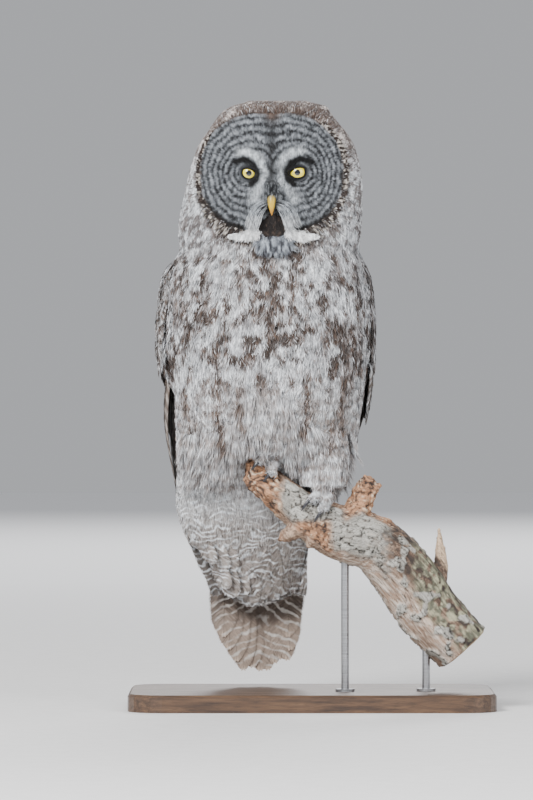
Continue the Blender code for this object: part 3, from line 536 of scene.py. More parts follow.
shade = lerp(shade, srgb(96, 88, 80), barked * fade(fine_crack, 0.02, 0.08) * 0.35)
shade = lerp(shade, CRUMB, crumbled)
# The broken wood's deepest pits take the char colour.
shade = lerp(shade, CHAR, crumbled * ease(-pits - 0.4 * ragged, 0.18, 0.4) * 0.9)
shade = lerp(shade, srgb(205, 178, 150), on_spur)
rim = np.linalg.norm(off_middle, axis=1)
growth = 0.5 + 0.5 * np.sin(rim * 2.1 + 1.5 * lumps(points, 9.0, 98))
shade = lerp(shade, lerp(srgb(176, 142, 108), srgb(212, 184, 148), growth), saw_cut)
paint(branch, shade)
# The finest pattern follows the grain: places along the limb, round it and out from it.
reach_along = np.concatenate([[0], np.cumsum(np.linalg.norm(np.diff(limb_middle, axis=0), axis=1))])
run = reach_along[station] + dot(from_middle, line)
girth = np.radians(round_angle) * limb_radius[station]
layer = branch.data.attributes.new("grain", "FLOAT_VECTOR", "POINT")
layer.data.foreach_set("vector", np.stack([run, girth, proud], -1).ravel().astype(np.float32))

bark = Finish("weathered_wood", Roughness=0.85)
grit = bark.noise(900.0, 4.0, 0.7)
grain_place = bark.add("Attribute", {"attribute_name": "grain"}).outputs["Vector"]
threads = bark.noise(1.0, 5.0, 0.65, stretch=(0.07, 0.8, 0.4), source=grain_place)
blots = bark.noise(1.0, 5.0, 0.7, stretch=(0.09, 0.26, 0.2), source=grain_place)
split = bark.noise(1.0, 3.0, 0.6, 0.6, (0.035, 0.45, 0.3), source=grain_place)
coarse = bark.ramp(grit, (0.25, 0.5), (0.75, 1.3))
speck = bark.mix(0.5, coarse, bark.ramp(threads, (0.34, 0.38), (0.64, 1.32)))
surface = bark.mix(1.0, bark.own("tint"), speck, "MULTIPLY")
surface = bark.mix(bark.ramp(blots, (0.56, 0.0), (0.64, 0.75)), surface, srgb(66, 52, 44))
surface = bark.mix(bark.ramp(blots, (0.3, 0.45), (0.4, 0.0)), surface, srgb(206, 186, 166))
from_split = bark.math("ABSOLUTE", bark.math("SUBTRACT", split, 0.5))
fine_line = bark.ramp(from_split, (0.004, 0.8), (0.016, 0.0))
bark.set("Base Color", bark.mix(fine_line, surface, srgb(30, 25, 22)))
bark.set("Roughness", bark.ramp(grit, (0.3, 0.95), (0.7, 0.75)))
bark.bump(bark.math("ADD", grit, threads), 0.6, 0.0008)
settle(branch, bark, "branch", "perch_branch")

# The skin is one hide from crown to toes, without a seam, drawn over head, body, wings, legs and
# feet. Feathers root in it everywhere, so it lies as deep as the coat is thick.
# Each row: height, left and right of the owl's axis, front and back.
BODY = (
    (560, -98, 110, -80, 80), (528, -97, 110, -83, 82), (508, -105, 116, -90, 84),
    (463, -108, 120, -101, 87), (417, -108, 119, -104, 88), (371, -103, 116, -99, 86),
    (325, -102, 110, -82, 84), (290, -101, 105, -56, 82), (262, -101, 98, -30, 80),
    (232, -102, 80, -14, 78), (205, -95, 60, -4, 66), (175, -80, 50, 12, 60),
    (150, -65, 47, 28, 60), (110, -58, 46, 54, 62),
)
BODY_ROUNDNESS = 2.25
FACE_X = AXIS_X + 9.0
FACE_Z = 612.0
FACE_FRONT_Y = -92.0
RIM_Y, RIM_BOTTOM_Y = -62.0, -84.0
DISC_HALF_WIDTH, DISC_UP, DISC_DOWN = 84.0, 71.0, 70.0
HEAD_MIDDLE_X = AXIS_X + 12.5
HEAD_WIDEST_Y, HEAD_BACK_Y = -6.0, 86.0
CROWN_Z = 700.0
# Each row: height, and how far the head reaches to the left and right of the axis.
HEAD_OUTLINE = (
    (420, -97, 110), (528, -97, 110), (545, -99, 112), (567, -97, 113),
    (590, -92, 114), (613, -87, 113), (636, -80, 108), (650, -74, 103),
    (663, -65, 95), (675, -57, 85), (685, -49, 77), (693, -36, 71),
    (698, -18, 52),
)
# The feet stand at these shares of the limb's length.
FEET = {"right": 0.12, "left": 0.405}
LEG_X = {"right": 4.0, "left": 68.0}
# Each ring of a leg: height over the limb, half width, half depth, and its middle front to back.
LEG_RINGS = ((110, 20, 18, -24), (90, 24, 24, -30), (58, 29, 27, -38), (30, 30, 28, -43), (6, 28, 24, -46))
# Each toe: how far to the side, ahead or behind, and how many degrees round the limb.
TOES = ((-13.0, 1, 60.0), (6.0, 1, 66.0), (13.0, -1, 58.0), (-8.0, -1, 62.0))
# Each wing: its side, how many degrees back its front edge starts, and how far it stands out.
WING_SHIFT = {"right": (-1, 0.0, 4.0), "left": (1, 6.0, -4.0)}


def body_at(turn, height, out=0.0, back=None):
    """Points of the body. turn is in degrees from the breast towards the owl's left side."""
    turn, height = np.radians(turn), np.asarray(height, float)
    left, right, front, rear = np.moveaxis(rows_at(BODY, height), -1, 0)
    if back is not None:
        rear = np.maximum(rear, back)
    s, c = np.sin(turn), np.cos(turn)
    s = np.copysign(np.abs(s) ** (2 / BODY_ROUNDNESS), s)
    c = np.copysign(np.abs(c) ** (2 / BODY_ROUNDNESS), c)
    x = AXIS_X + (left + right) / 2 + s * ((right - left) / 2 + out)
    y = (front + rear) / 2 - c * ((rear - front) / 2 + out)
    return np.stack(np.broadcast_arrays(x, y, height), -1)


def turn_of(points):
    """Degrees round the body from the breast, owl's left positive."""
    left, right, front, rear = np.moveaxis(rows_at(BODY, points[..., 2]), -1, 0)
    x = (points[..., 0] - AXIS_X - (left + right) / 2) / ((right - left) / 2)
    y = (points[..., 1] - (front + rear) / 2) / ((rear - front) / 2)
    return np.degrees(np.arctan2(x, -y))


def blob(x, z, middle_x, middle_z, half_x, half_z):
    """1 at a middle, falling to 0 round it."""
    return np.exp(-(((x - middle_x) / half_x) ** 2) - ((z - middle_z) / half_z) ** 2)


def face_depth(x, z):
    """How far forward the face lies, at places measured from its middle."""
    z = np.where(np.abs(z) < 1e-6, 1e-6, z)
    reach = np.minimum(1, np.hypot(x / DISC_HALF_WIDTH, z / np.where(z < 0, DISC_DOWN, DISC_UP)))
    low = np.maximum(0, -z / np.hypot(x, z)) ** 2
    rim = RIM_Y + (RIM_BOTTOM_Y - RIM_Y) * low
    y = FACE_FRONT_Y + (rim - FACE_FRONT_Y) * reach**1.5
    dish = blob(np.abs(x), z, 46, -4, 26, 34)
    socket = blob(np.abs(x), z, 28, 1.5, 11, 11)
    ridge = np.exp(-((x / 10) ** 2)) * np.exp(-(((z + 8) / 40) ** 2))
    cheek = blob(np.abs(x), z, 17, -44, 11, 17)
    return y + 7 * dish + 4 * socket - 5 * ridge - 5 * cheek


def rim_radius(angle):
    """The disc's edge in each direction from the face's middle."""
    c, s = np.cos(angle), np.sin(angle)
    half = np.where(s > 0, DISC_UP, DISC_DOWN)
    edge = (np.abs(c / DISC_HALF_WIDTH) ** 2.3 + np.abs(s / half) ** 2.3) ** (-1 / 2.3)
    turned = (angle - np.pi / 2 + np.pi) % (2 * np.pi) - np.pi
    return edge - 3.0 * np.exp(-((turned / 0.16) ** 2))


def outline_radius(angle):
    """The head's own outline in each direction from its middle."""
    c, s = np.cos(angle), np.sin(angle)
    inside, outside = np.full(c.shape, 20.0), np.full(c.shape, 170.0)
    for _ in range(24):
        radius = (inside + outside) / 2
        height = FACE_Z + radius * s
        left, right = np.moveaxis(rows_at(HEAD_OUTLINE, height) + (AXIS_X - HEAD_MIDDLE_X), -1, 0)
        held = (left < radius * c) & (radius * c < right) & (height < CROWN_Z - 1)
        inside = np.where(held, radius, inside)
        outside = np.where(held, outside, radius)
    return inside


def head_at(step, angle):
    """Points of the head: step 0 to 1 from the face's middle to its rim, 2 at the nape's pole."""
    step, angle = np.broadcast_arrays(np.asarray(step, float), np.asarray(angle, float))
    c, s = np.cos(angle), np.sin(angle)
    rim, out = rim_radius(angle), outline_radius(angle)
    edge_y = face_depth(rim * c, rim * s)
    q = np.clip((step - 1) / 0.4, 0, 1) * np.pi / 2
    w = np.clip((step - 1.4) / 0.6, 0, 1) * np.pi / 2
    front, side = step <= 1, step <= 1.4
    behind = np.where(side, rim + (out - rim) * np.sin(q), out * np.cos(w) ** 0.9)
    radius = np.where(front, rim * step, behind)
    face_y = face_depth(rim * np.minimum(step, 1) * c, rim * np.minimum(step, 1) * s)
    side_y = HEAD_WIDEST_Y + (edge_y - HEAD_WIDEST_Y) * np.cos(q)
    back_y = HEAD_WIDEST_Y + (HEAD_BACK_Y - HEAD_WIDEST_Y) * np.sin(w)
    y = np.where(front, face_y, np.where(side, side_y, back_y))
    shift = (HEAD_MIDDLE_X - FACE_X) * np.where(front, 0, np.where(side, np.sin(q), 1))
    return np.stack([FACE_X + shift + radius * c, y, FACE_Z + radius * s], -1)


def foot_frame(owner):
    """Middle of the limb under a foot, its radius, and the ways along, up and to the front."""
    t = FEET[owner] * (LIMB_STEPS - 1)
    k = int(t)
    middle = limb_middle[k] + (limb_middle[k + 1] - limb_middle[k]) * (t - k)
    line = along_limb[k]
    front = unit(FRONT - line * -line[1])
    up = np.cross(front, line)
    return middle, limb_radius[k], line, up * math.copysign(1, up[2]), front


def toe_path(owner, toe, start, end, lift, count):
    """Points over the limb along one toe, from start to end in degrees off its top."""
    middle, radius, line, up, front = foot_frame(owner)
    spread, way, _ = toe
    s = np.linspace(0, 1, count)[:, None]
    a = np.radians(start + (end - start) * s)
    reach = radius + lift[0] + (lift[1] - lift[0]) * s
    side = spread * (0.35 + 0.65 * np.minimum(1.0, a / 1.2))
    return middle + reach * (np.cos(a) * up + way * np.sin(a) * front) + side * line


def oval(x, y, half_x, half_y, height):
    """A level ring of points."""
    around = np.radians(np.arange(0, 360, 15))
    level = np.full(len(around), height)
    return np.stack([x + half_x * np.cos(around), y + half_y * np.sin(around), level], -1)


def hide_shells(depth):
    """Every form of the bird as a closed shell, each set in by its share of the coat's depth."""
    ring = np.linspace(0, 360, 73)[:-1]
    heights = np.arange(112, 557, 6.0)
    rows = body_at(ring[None], heights[:, None], -1.0 * depth)
    side = (rows[..., 0] - AXIS_X + 12) / 55
    rows[..., 2] += (30 - 8 * np.sign(side)) * side**2 * np.clip((185 - rows[..., 2]) / 73, 0, 1)
    made = [shell(rows)]
    steps = np.concatenate([np.linspace(0.02, 1, 22), np.linspace(1.05, 1.98, 30)])
    angles = np.radians(np.linspace(0, 360, 97)[:-1])
    head = head_at(steps[:, None], angles[None])
    ahead = np.roll(head, -1, 1) - np.roll(head, 1, 1)
    normal = unit(np.cross(ahead, np.gradient(head, axis=0)))
    outward = head - np.array((HEAD_MIDDLE_X, HEAD_WIDEST_Y, FACE_Z - 10))
    normal *= np.where(dot(normal, outward) < 0, -1, 1)[..., None]
    thick = depth * (0.35 + 0.55 * ease(steps, 0.97, 1.25))
    made.append(shell(head - normal * thick[:, None, None]))
    for owner, (side, shift, out) in WING_SHIFT.items():
        rings = []
        for height, share in ((518, 0.0), (506, 0.55), (485, 0.85), (455, 1), (405, 1), (368, 0.6)):
            lead = 78 + shift + max(0, height - 485) * 0.5 + (10 if height < 400 else 0)
            turns = side * np.linspace(lead, 176, 15)
            full = np.interp(np.linspace(0, 8, 15), range(9), (0.2, 0.85, 1, 1, 1, 1, 1, 0.95, 0.6))
            outer = body_at(turns, height, 2 - 0.3 * depth + (10 + out - 0.3 * depth) * share * full)
            rings.append(np.concatenate([outer, body_at(turns[::-1], height, -5 - depth)]))
        made.append(shell(rings))
        middle, radius, _, up, _ = foot_frame(owner)
        top = (middle + up * (radius + 8))[2]
        rings = []
        for height, half_x, half_y, y in LEG_RINGS:
            half_x, half_y = half_x - 0.6 * depth, half_y - 0.6 * depth
            rings.append(oval(AXIS_X + LEG_X[owner], y, half_x, half_y, top + height))
        made.append(shell(rings))
        heel = toe_path(owner, (0.0, 1, 0.0), -8, 8, (8.0, 8.0), 5)
        made.append(round_tube(heel, np.array((4, 9, 10.5, 9, 4)), 20))
        for toe in TOES:
            path = toe_path(owner, toe, 4, toe[2], (7.0, 6.0), 9)
            made.append(round_tube(path, np.linspace(6.4, 4.4, 9), 16))
    rings = []
    for z, half_x, half_y in ((216, 38, 7), (200, 50, 11), (176, 47, 9), (160, 41, 4)):
        rings.append(oval(AXIS_X - 8, 72, half_x - depth * 0.3, half_y - depth * 0.2, z))
    made.append(shell(rings))
    return made


# How thick the coat is, how fine the hide is meshed, and how much painted shade darkens it under the
# feathers.
COAT_DEPTH, HIDE_GRAIN, HIDE_SHADE = 8.0, 3.0, 0.72
guide = melted("guide", hide_shells(0.0), HIDE_GRAIN)
guide_points, guide_normals = read(guide)
guide.data.calc_loop_triangles()
triangles = np.zeros(len(guide.data.loop_triangles) * 3, np.int32)
guide.data.loop_triangles.foreach_get("vertices", triangles)
triangles = triangles.reshape(-1, 3)
surface = BVHTree.FromPolygons(guide_points.tolist(), triangles.tolist(), all_triangles=True)
bpy.data.objects.remove(guide)


# Markings. Skin and feathers take their colours from the same rules, which give a colour for
# each place on the bird, so that every tuft matches the hide under it.
WHITE = srgb(230, 233, 237)


def face_place(points):
    return points[..., 0] - FACE_X, points[..., 2] - FACE_Z


def stroke(x, z, path, width):
    """1 on a line through path, falling to 0 about a width away."""
    best = np.full(np.shape(x), 1e9)
    for (x0, z0), (x1, z1) in zip(path, path[1:]):
        dx, dz = x1 - x0, z1 - z0
        t = np.clip(((x - x0) * dx + (z - z0) * dz) / (dx * dx + dz * dz), 0, 1)
        best = np.minimum(best, (x - x0 - t * dx) ** 2 + (z - z0 - t * dz) ** 2)
    return np.exp(-best / width**2)


# Places on the face from its middle, across and up: pupils, white brows, dark patches by the
# eyes, and dark crescents on the rim.
EYES = {"right": (-26.0, 0.3), "left": (29.2, 0.9)}
BROW = {
    -1: ((-37, 24), (-27, 24), (-17, 18), (-12, 8), (-10, -3), (-13, -15), (-19, -27)),
    1: ((33, 25), (22, 24), (14, 17), (10.5, 8), (9.5, -3), (14, -15), (24, -29)),
}
PATCH = {
    -1: ((-41, 13.5), (-32, 16), (-22, 10.5), (-16.5, 1.5), (-17.5, -7), (-23, -12)),
    1: ((46, 13.5), (33, 17), (22, 11.5), (17, 2.5), (18.5, -6.5), (25, -12.5)),
}
CRESCENTS = (
    ((-76, -33), (-66, -46), (-52, -56), (-33, -63)),
    ((72, -40), (62, -50), (48, -59), (33, -63)),
)


def face_tint(points, stray=0.0):
    """The face's rings, brows, dark patches and rim."""
    x, z = face_place(points)
    flat = np.stack([x, np.zeros_like(x), z], -1)
    wave = lumps(flat, 9.0, 201)
    rough = lumps(flat, 2.6, 202)
    fine = lumps(flat, 1.3, 203)
    left = np.hypot(x - EYES["right"][0], (z - EYES["right"][1]) * 1.05)
    right = np.hypot(x - EYES["left"][0], (z - EYES["left"][1]) * 1.05)
    from_eye = np.minimum(left, right)
    angle = np.arctan2(z, x)
    from_rim = rim_radius(angle) - np.hypot(x, z)
    t = ease(from_eye / np.maximum(from_eye + from_rim, 1), 0.35, 0.95)
    ring = from_eye * (1 - t) + (62 - from_rim) * t
    light = 0.5 + 0.5 * np.cos(2 * np.pi * (ring + 1.5 * wave + stray) / 6.7)
    light = np.clip(light * (0.86 + 0.3 * rough) + 0.02 + 0.22 * rough + 0.24 * fine, 0, 1)
    shade = lerp(srgb(20, 19, 22), srgb(157, 162, 168), light)
    # The dark line from forehead to bill, speckled, with the brown tuft above it.
    middle = np.exp(-((x / (5.2 + 0.05 * np.abs(z - 10))) ** 2)) * ease(z, -34, -18)
    shade = lerp(shade, srgb(30, 29, 31), middle * (0.62 + 0.45 * rough))
    shade = lerp(shade, srgb(14, 13, 15), blob(x, z, -1, 1, 3.6, 13) * 0.85)
    shade = lerp(shade, srgb(104, 84, 72), blob(x, z, 1, 72, 8, 9))
    for path in BROW.values():
        near = stroke(x + 1.6 * wave, z, path, 4.8) * (1.05 + 0.35 * rough)
        shade = lerp(shade, srgb(224, 230, 235), np.clip(near, 0, 1) * 0.92)
        low = stroke(x, z, path[-2:], 8.0) * (0.85 + 0.3 * fine)
        shade = lerp(shade, srgb(218, 224, 229), np.clip(low, 0, 1) * 0.6)
    for side, path in PATCH.items():
        shade = lerp(shade, srgb(12, 11, 13), np.clip(1.5 * stroke(x, z + 0.4 * rough, path, 3.5), 0, 1))
        eye_x, eye_z = EYES["right" if side < 0 else "left"]
        shade = shade * (1 - 0.25 * blob(x, z, eye_x + side * 3, eye_z, 17, 13)[..., None])
        shade = lerp(shade, srgb(14, 14, 16), blob(x, z, eye_x - side * 2.5, eye_z, 8.5, 7.0) * 0.95)
        shade = lerp(shade, srgb(120, 124, 128), blob(x, z, eye_x + side * 5, 9.5, 6, 2.4) * 0.5)
    # Beside the bill the feathers are dark and soft.
    shade = lerp(shade, srgb(70, 72, 76), blob(np.abs(x), z, 9, -27, 6, 7) * 0.8)
    for path in CRESCENTS:
        shade = lerp(shade, srgb(24, 20, 19), np.clip(1.3 * stroke(x, z + 0.8 * rough, path, 3.0), 0, 1))
    # Along the rim: brown above, flecked with white at the sides, dark crescents below.
    top = ease(np.sin(angle), 0.1, 0.5)
    low = ease(-np.sin(angle), 0.42, 0.62)
    edge = fade(from_rim + 1.4 * rough + 1.6 * top, 0.6, 4.0)
    rim = lerp(srgb(84, 72, 64), srgb(86, 70, 61), top)
    rim = lerp(rim, srgb(30, 25, 23), low)
    shade = lerp(shade, rim, np.clip(edge * (0.8 + 0.3 * fine), 0, 1))
    return shade


# Brown streaks of the underside: a line of places from the owl's axis and heights, the streak's
# half width, its strength, and how far the bars on either side of it reach.
STREAKS = (
    (((-54, 417), (-54, 350), (-50, 320), (-47, 290)), 3.6, 1.2, 9.0),
    (((-28, 372), (-30, 345), (-24, 318)), 3.2, 1.0, 8.0),
    (((-25, 513), (-27, 488), (-26, 463)), 4.2, 1.0, 0.0),
    (((-11, 466), (-9, 444)), 4.0, 0.9, 0.0),
    (((33, 525), (35, 500), (31, 470)), 4.4, 1.0, 0.0),
    (((30, 462), (32, 448)), 4.6, 0.95, 0.0),
    (((9, 520), (15, 492), (12, 470)), 3.4, 0.8, 0.0),
    (((-68, 506), (-66, 478), (-70, 446)), 3.4, 0.75, 5.0),
    (((-44, 520), (-46, 498), (-50, 478)), 3.0, 0.6, 0.0),
    (((62, 540), (76, 522), (87, 500), (85, 478)), 4.0, 0.9, 0.0),
    (((44, 545), (57, 528), (66, 508)), 3.2, 0.6, 0.0),
    (((105, 508), (108, 450), (111, 378)), 2.3, 0.9, 4.0),
    (((99, 438), (97, 400), (91, 360), (88, 308)), 3.4, 1.2, 9.0),
    (((70, 432), (68, 396)), 2.6, 0.7, 6.0),
    (((48, 380), (49, 345), (46, 308)), 3.6, 1.2, 9.0),
    (((78, 326), (76, 290)), 3.2, 1.1, 8.0),
    (((-101, 515), (-103, 470), (-99, 434)), 2.4, 0.85, 3.0),
    (((-88, 470), (-91, 423)), 2.4, 0.7, 3.0),
    (((-92, 362), (-88, 335), (-83, 314)), 2.8, 1.1, 4.0),
    (((-72, 448), (-84, 425)), 3.4, 0.6, 0.0),
    (((-56, 452), (-40, 438), (-14, 436)), 3.4, 0.6, 0.0),
    (((66, 452), (84, 440), (90, 424)), 3.0, 0.5, 0.0),
    (((-8, 400), (2, 372), (10, 344)), 3.2, 0.45, 6.0),
)


def body_tint(points, stray=0.0):
    """Breast, belly, flanks, neck and legs: white, with brown shaft streaks, lobes and mottles."""
    x, y, z = points[..., 0] - AXIS_X, points[..., 1], points[..., 2]
    high = z + stray
    slow = lumps(points, (26, 26, 44), 211)
    wobble = 2.6 * lumps(points, (9, 9, 14), 212)
    mottle = lumps(points, (7, 7, 12), 213)
    fine = lumps(points, (3.2, 3.2, 6), 214)
    small = lumps(points, (1.7, 1.7, 4), 217)
    breast = ease(z, 335, 405)
    brown = ease(0.6 * mottle + 0.22 * slow + 0.5 * fine, -0.1, 0.3) * (0.32 + 0.58 * breast)
    ahead = ease(30 - y, 0, 40)
    for path, half, strength, reach in STREAKS:
        broken = 0.8 + 0.5 * fine
        near = stroke(x + wobble, high, path, half * (1 + 0.3 * fine)) * strength * broken
        brown = np.maximum(brown, near * ahead)
        if reach:
            middle = np.interp(-z, [-place for _, place in path], [place for place, _ in path])
            off = np.abs(x + wobble - middle)
            top, foot = path[0][1], path[-1][1]
            within = ease(z, foot - 6, foot + 6) * fade(z, top - 4, top + 8)
            bar = (high - 0.45 * off + 4 * middle) / 12.5
            lobe = np.exp(-((np.abs(bar - np.round(bar)) / 0.17) ** 2))
            lobe = lobe * fade(off, reach * 0.5, reach + 2.5)
            brown = np.maximum(brown, lobe * within * ahead * strength * (0.62 + 0.4 * mottle))
    brown = np.clip(brown + 0.1 * small, 0, 1)
    grey = np.clip(0.35 + 0.5 * mottle + 0.6 * small, 0, 1) * (0.14 + 0.66 * breast)
    base = lerp(srgb(247, 250, 254), srgb(140, 137, 139), grey)
    shade = lerp(base, srgb(118, 95, 81), np.clip(brown * 1.45, 0, 1))
    shade = lerp(shade, srgb(62, 49, 42), ease(brown + 0.3 * fine, 0.58, 0.95) * 0.85)
    cool = ease(-slow - 0.4 * mottle, 0.25, 0.8) * 0.38 * ease(z, 330, 420)
    shade = lerp(shade, srgb(112, 108, 110), cool)
    faint = 0.5 + 0.5 * np.cos(2 * np.pi * (high + 5 * slow + 2 * mottle) / 12)
    faint = ease(faint + 0.35 * fine, 0.36, 0.85) * 0.78 * fade(z, 315, 400)
    return lerp(shade, srgb(142, 123, 111), faint)


def under_tint(points, stray=0.0, lined=1.0):
    """Undertail coverts: grey-brown, crossed by wavy white lines."""
    wave = lumps(points, (17, 17, 9), 301)
    ripple = lumps(points, (6, 6, 4), 304)
    fine = lumps(points, (3, 3, 2.2), 302)
    turn = np.radians(turn_of(points))
    line = (points[..., 2] + 5 * np.abs(np.sin(2 * turn)) + 4.6 * wave + 1.6 * ripple + 0.4 * stray) / 7.0
    off = np.abs(line - np.round(line))
    white = fade(off, 0.12, 0.3) * np.clip(0.85 + 0.6 * lumps(points, (10, 10, 7), 303), 0, 1)
    shade = lerp(srgb(166, 158, 152), srgb(112, 101, 94), ease(fine, -0.3, 0.9))
    pale = ease(points[..., 2] + 12 * wave, 186, 240) * 0.6
    shade = lerp(shade, srgb(204, 206, 208), pale)
    return lerp(shade, srgb(230, 234, 238), np.clip(white, 0, 1) * 0.94 * lined)


def head_tint(points, stray=0.0):
    """Crown, nape and the sides of the head: pale and brown in small mottles that run back."""
    x, y, z = points[..., 0] - HEAD_MIDDLE_X, points[..., 1], points[..., 2]
    aside = 0.8 * (z - 560) * np.sign(x) * fade(z, 600, 640)
    streaks = points + np.stack([aside, 0 * z, 0 * z], -1)
    mottle = lumps(streaks + np.asarray(stray)[..., None], (5.0, 7.0, 8.0), 221)
    fine = lumps(points, (2, 3, 2.6), 222)
    slow = lumps(points, 18.0, 223)
    crown = ease(z, 600, 676)
    brown = ease(mottle + 0.4 * fine + 0.3 * slow + 0.45 * crown, -0.1, 0.16)
    pale = lerp(srgb(238, 241, 245), srgb(206, 194, 186), crown)
    shade = lerp(pale, srgb(88, 69, 59), brown * (0.86 + 0.1 * crown))
    tuft = blob(x + 4, z, 0, 694, 15, 22) * ease(-y, 10, 50)
    return lerp(shade, srgb(84, 64, 53), tuft * 0.8)


def coat_tint(points, stray=0.0, lined=1.0):
    """The whole coat: the body's marks, the undertail's below them and the head's above."""
    y = points[..., 1]
    low = fade(points[..., 2] + 8 * lumps(points, 14.0, 218) - 0.25 * y, 238, 256)
    shade = lerp(body_tint(points, stray), under_tint(points, stray, lined), low)
    high = ease(points[..., 2] + 0.12 * (y + 60), 512, 536)
    shade = lerp(shade, head_tint(points, stray), high)
    # Just below the disc the feathers are browner, in small streaks: partly brown markings and partly
    # painted shade under the moustache.
    x, z = face_place(points)
    below = rim_radius(np.arctan2(z, x)) - np.hypot(x, z)
    collar = ease(below, -26, -12) * ease(-z, 48, 62) * ease(-y, 20, 60)
    streaks = ease(lumps(points, (2.6, 2.6, 7), 224), -0.25, 0.2)
    return lerp(shade, srgb(104, 86, 76), collar * streaks * 0.85)


def on_face(points):
    """How far inside the disc's rim a place on the front of the head lies."""
    x, z = face_place(points)
    inside = rim_radius(np.arctan2(z, x)) - np.hypot(x, z)
    return np.where(points[..., 1] < -40, inside, -20.0)


hide = melted("skin", hide_shells(COAT_DEPTH), HIDE_GRAIN)
points, normals = read(hide)
shade = lerp(coat_tint(points), face_tint(points), ease(on_face(points), -1, 1))
# The hide takes the coat's and face's colours, darkened by HIDE_SHADE as painted shade under the feathers.
paint(hide, shade * HIDE_SHADE)
down = Finish("skin_and_down", Roughness=0.9)
fuzz = down.noise(700.0, 4.0, 0.7, stretch=(1, 1, 0.35))
down.set("Base Color", down.tinted(fuzz, (0.25, 0.6), (0.75, 1.2)))
down.worn(fuzz, 0.95, 0.8, 0.5, 0.001)
FLESH = ("head", "neck", "torso", "vent", "leg_right", "leg_left", "foot_right", "foot_left")
settle(hide, down, "plumage", *FLESH)

# The coat. Every tuft is a small fan of thin tapered strands rooted in the skin, lying back
# from the face over the head and down over breast, belly and legs, as an owl's loose feathers do.
WING_EDGE = 100.0
# A strand has three pairs of points, at these shares of its length, and a tip.
STRAND_STEPS = np.array((0.0, 0.36, 0.72, 1.0))
STRAND_ROWS = (0, 0, 1, 1, 2, 2, 3)
STRAND_FACES = np.array(((0, 1, 3), (0, 3, 2), (2, 3, 5), (2, 5, 4), (4, 5, 6)))
MOST_STRANDS = 38000
PATCH_SIZE = 0.003


def scatter(spacing, wanted, seed):
    """Places over the bird, about evenly spaced, and the ways out of its surface there."""
    chance = np.random.default_rng(seed)
    a, b, c = (guide_points[triangles[:, k]] for k in range(3))
    area = np.linalg.norm(np.cross(b - a, c - a), axis=1) * wanted((a + b + c) / 3)
    pick = chance.choice(len(area), int(area.sum() / spacing**2 * 2.5), p=area / area.sum())
    u, v = chance.random((2, len(pick)))
    u, v = np.where(u + v > 1, 1 - u, u)[:, None], np.where(u + v > 1, 1 - v, v)[:, None]
    places = a[pick] * (1 - u - v) + b[pick] * u + c[pick] * v
    corner = guide_normals[triangles[pick]]
    normals = unit(corner[:, 0] * (1 - u - v) + corner[:, 1] * u + corner[:, 2] * v)
    cells = np.floor(places / (spacing * 1.12)).astype(int)
    _, first = np.unique(cells, axis=0, return_index=True)
    return places[first], normals[first]


def lie(points, normals):
    """The way that the coat lies."""
    x, y, z = points[:, 0], points[:, 1], points[:, 2]
    down = np.zeros_like(points)
    down[:, 2] = -1
    down[:, 0] = 0.16 * np.clip((x - AXIS_X - 5) / 60, -1, 1) * ease(z, 380, 500) * ease(-y, 0, 60)
    down[:, 1] = 0.3 * fade(z, 200, 240)
    away = np.stack([x - FACE_X, np.zeros_like(x), z - FACE_Z + 6], -1)
    away = unit(away) * 0.55
    away[:, 1] = 0.9
    away = lerp(away, down, np.maximum(ease(y, 20, 74), 0.75 * ease(-z, -612, -560)))
    way = lerp(down, away, ease(z, 520, 560))
    way = way - normals * dot(way, normals)[:, None]
    return unit(way)


def follow(places, normals, lengths, stray, steps=4):
    """Paths over the bird's surface from each place, along the lie of the coat."""
    paths, ways = [places], [normals]
    here, out = places, normals
    for _ in range(steps):
        way = lie(here, out)
        way = unit(way + np.cross(out, way) * stray[:, None])
        ahead = here + way * (lengths / steps)[:, None]
        found = [surface.find_nearest(place) for place in ahead.tolist()]
        here = np.array([place for place, _, _, _ in found])
        out = unit(guide_normals[triangles[[face for _, _, face, _ in found]]].mean(1))
        paths.append(here)
        ways.append(out)
    return np.stack(paths, 1), np.stack(ways, 1)


def along(paths, where):
    """Points on each path at shares of its length."""
    last = paths.shape[1] - 1
    scaled = np.clip(where * last, 0, last - 1e-6)
    i = scaled.astype(int)
    part = (scaled - i)[..., None]
    rows = np.arange(len(paths)).reshape((-1,) + (1,) * (where.ndim - 1))
    return paths[rows, i] * (1 - part) + paths[rows, i + 1] * part


def strands(paths, normals, count, width, spread, depth, chance, short=0.62, rise=1.2, roll=0.6):
    """Each tuft's blades, a place on the coat for their colours, and each one's place across."""
    number = len(paths)
    across = unit(np.cross(unit(np.gradient(paths, axis=1)), normals))
    side = np.linspace(-1, 1, count) + chance.normal(0, 0.2, (number, count))
    reach = chance.uniform(short, 1.0, (number, count)) * (1 - 0.16 * side**2)
    where = STRAND_STEPS * reach[..., None]
    middle = along(paths, where)
    out = unit(along(normals, where))
    over = unit(along(across, where))
    fan = spread[0] + (spread[1] - spread[0]) * STRAND_STEPS
    height = -depth * (1 - STRAND_STEPS) ** 1.6 - 0.25
    lift = chance.uniform(-0.6, 1.0, (number, 1, 1)) * rise
    lift = lift + chance.normal(0, 0.3, (number, count, 1)) * rise
    height = height + lift * np.sin(np.pi * np.minimum(STRAND_STEPS, 0.8)) - 0.35 * rise * STRAND_STEPS**2
    middle = middle + over * (side[..., None] * fan)[..., None] + out * height[..., None]
    tilt = chance.normal(0, roll, (number, count, 1, 1))
    blade = over * np.cos(tilt) + out * np.sin(tilt)
    half = width * np.array((0.35, 0.5, 0.42))[:, None] * chance.uniform(0.7, 1.25, (number, count, 1, 1))
    left = middle[:, :, :3] - blade[:, :, :3] * half
    right = middle[:, :, :3] + blade[:, :, :3] * half
    pairs = np.stack([left, right], 3).reshape(number, count, 6, 3)
    return np.concatenate([pairs, middle[:, :, 3:]], 2), middle, side


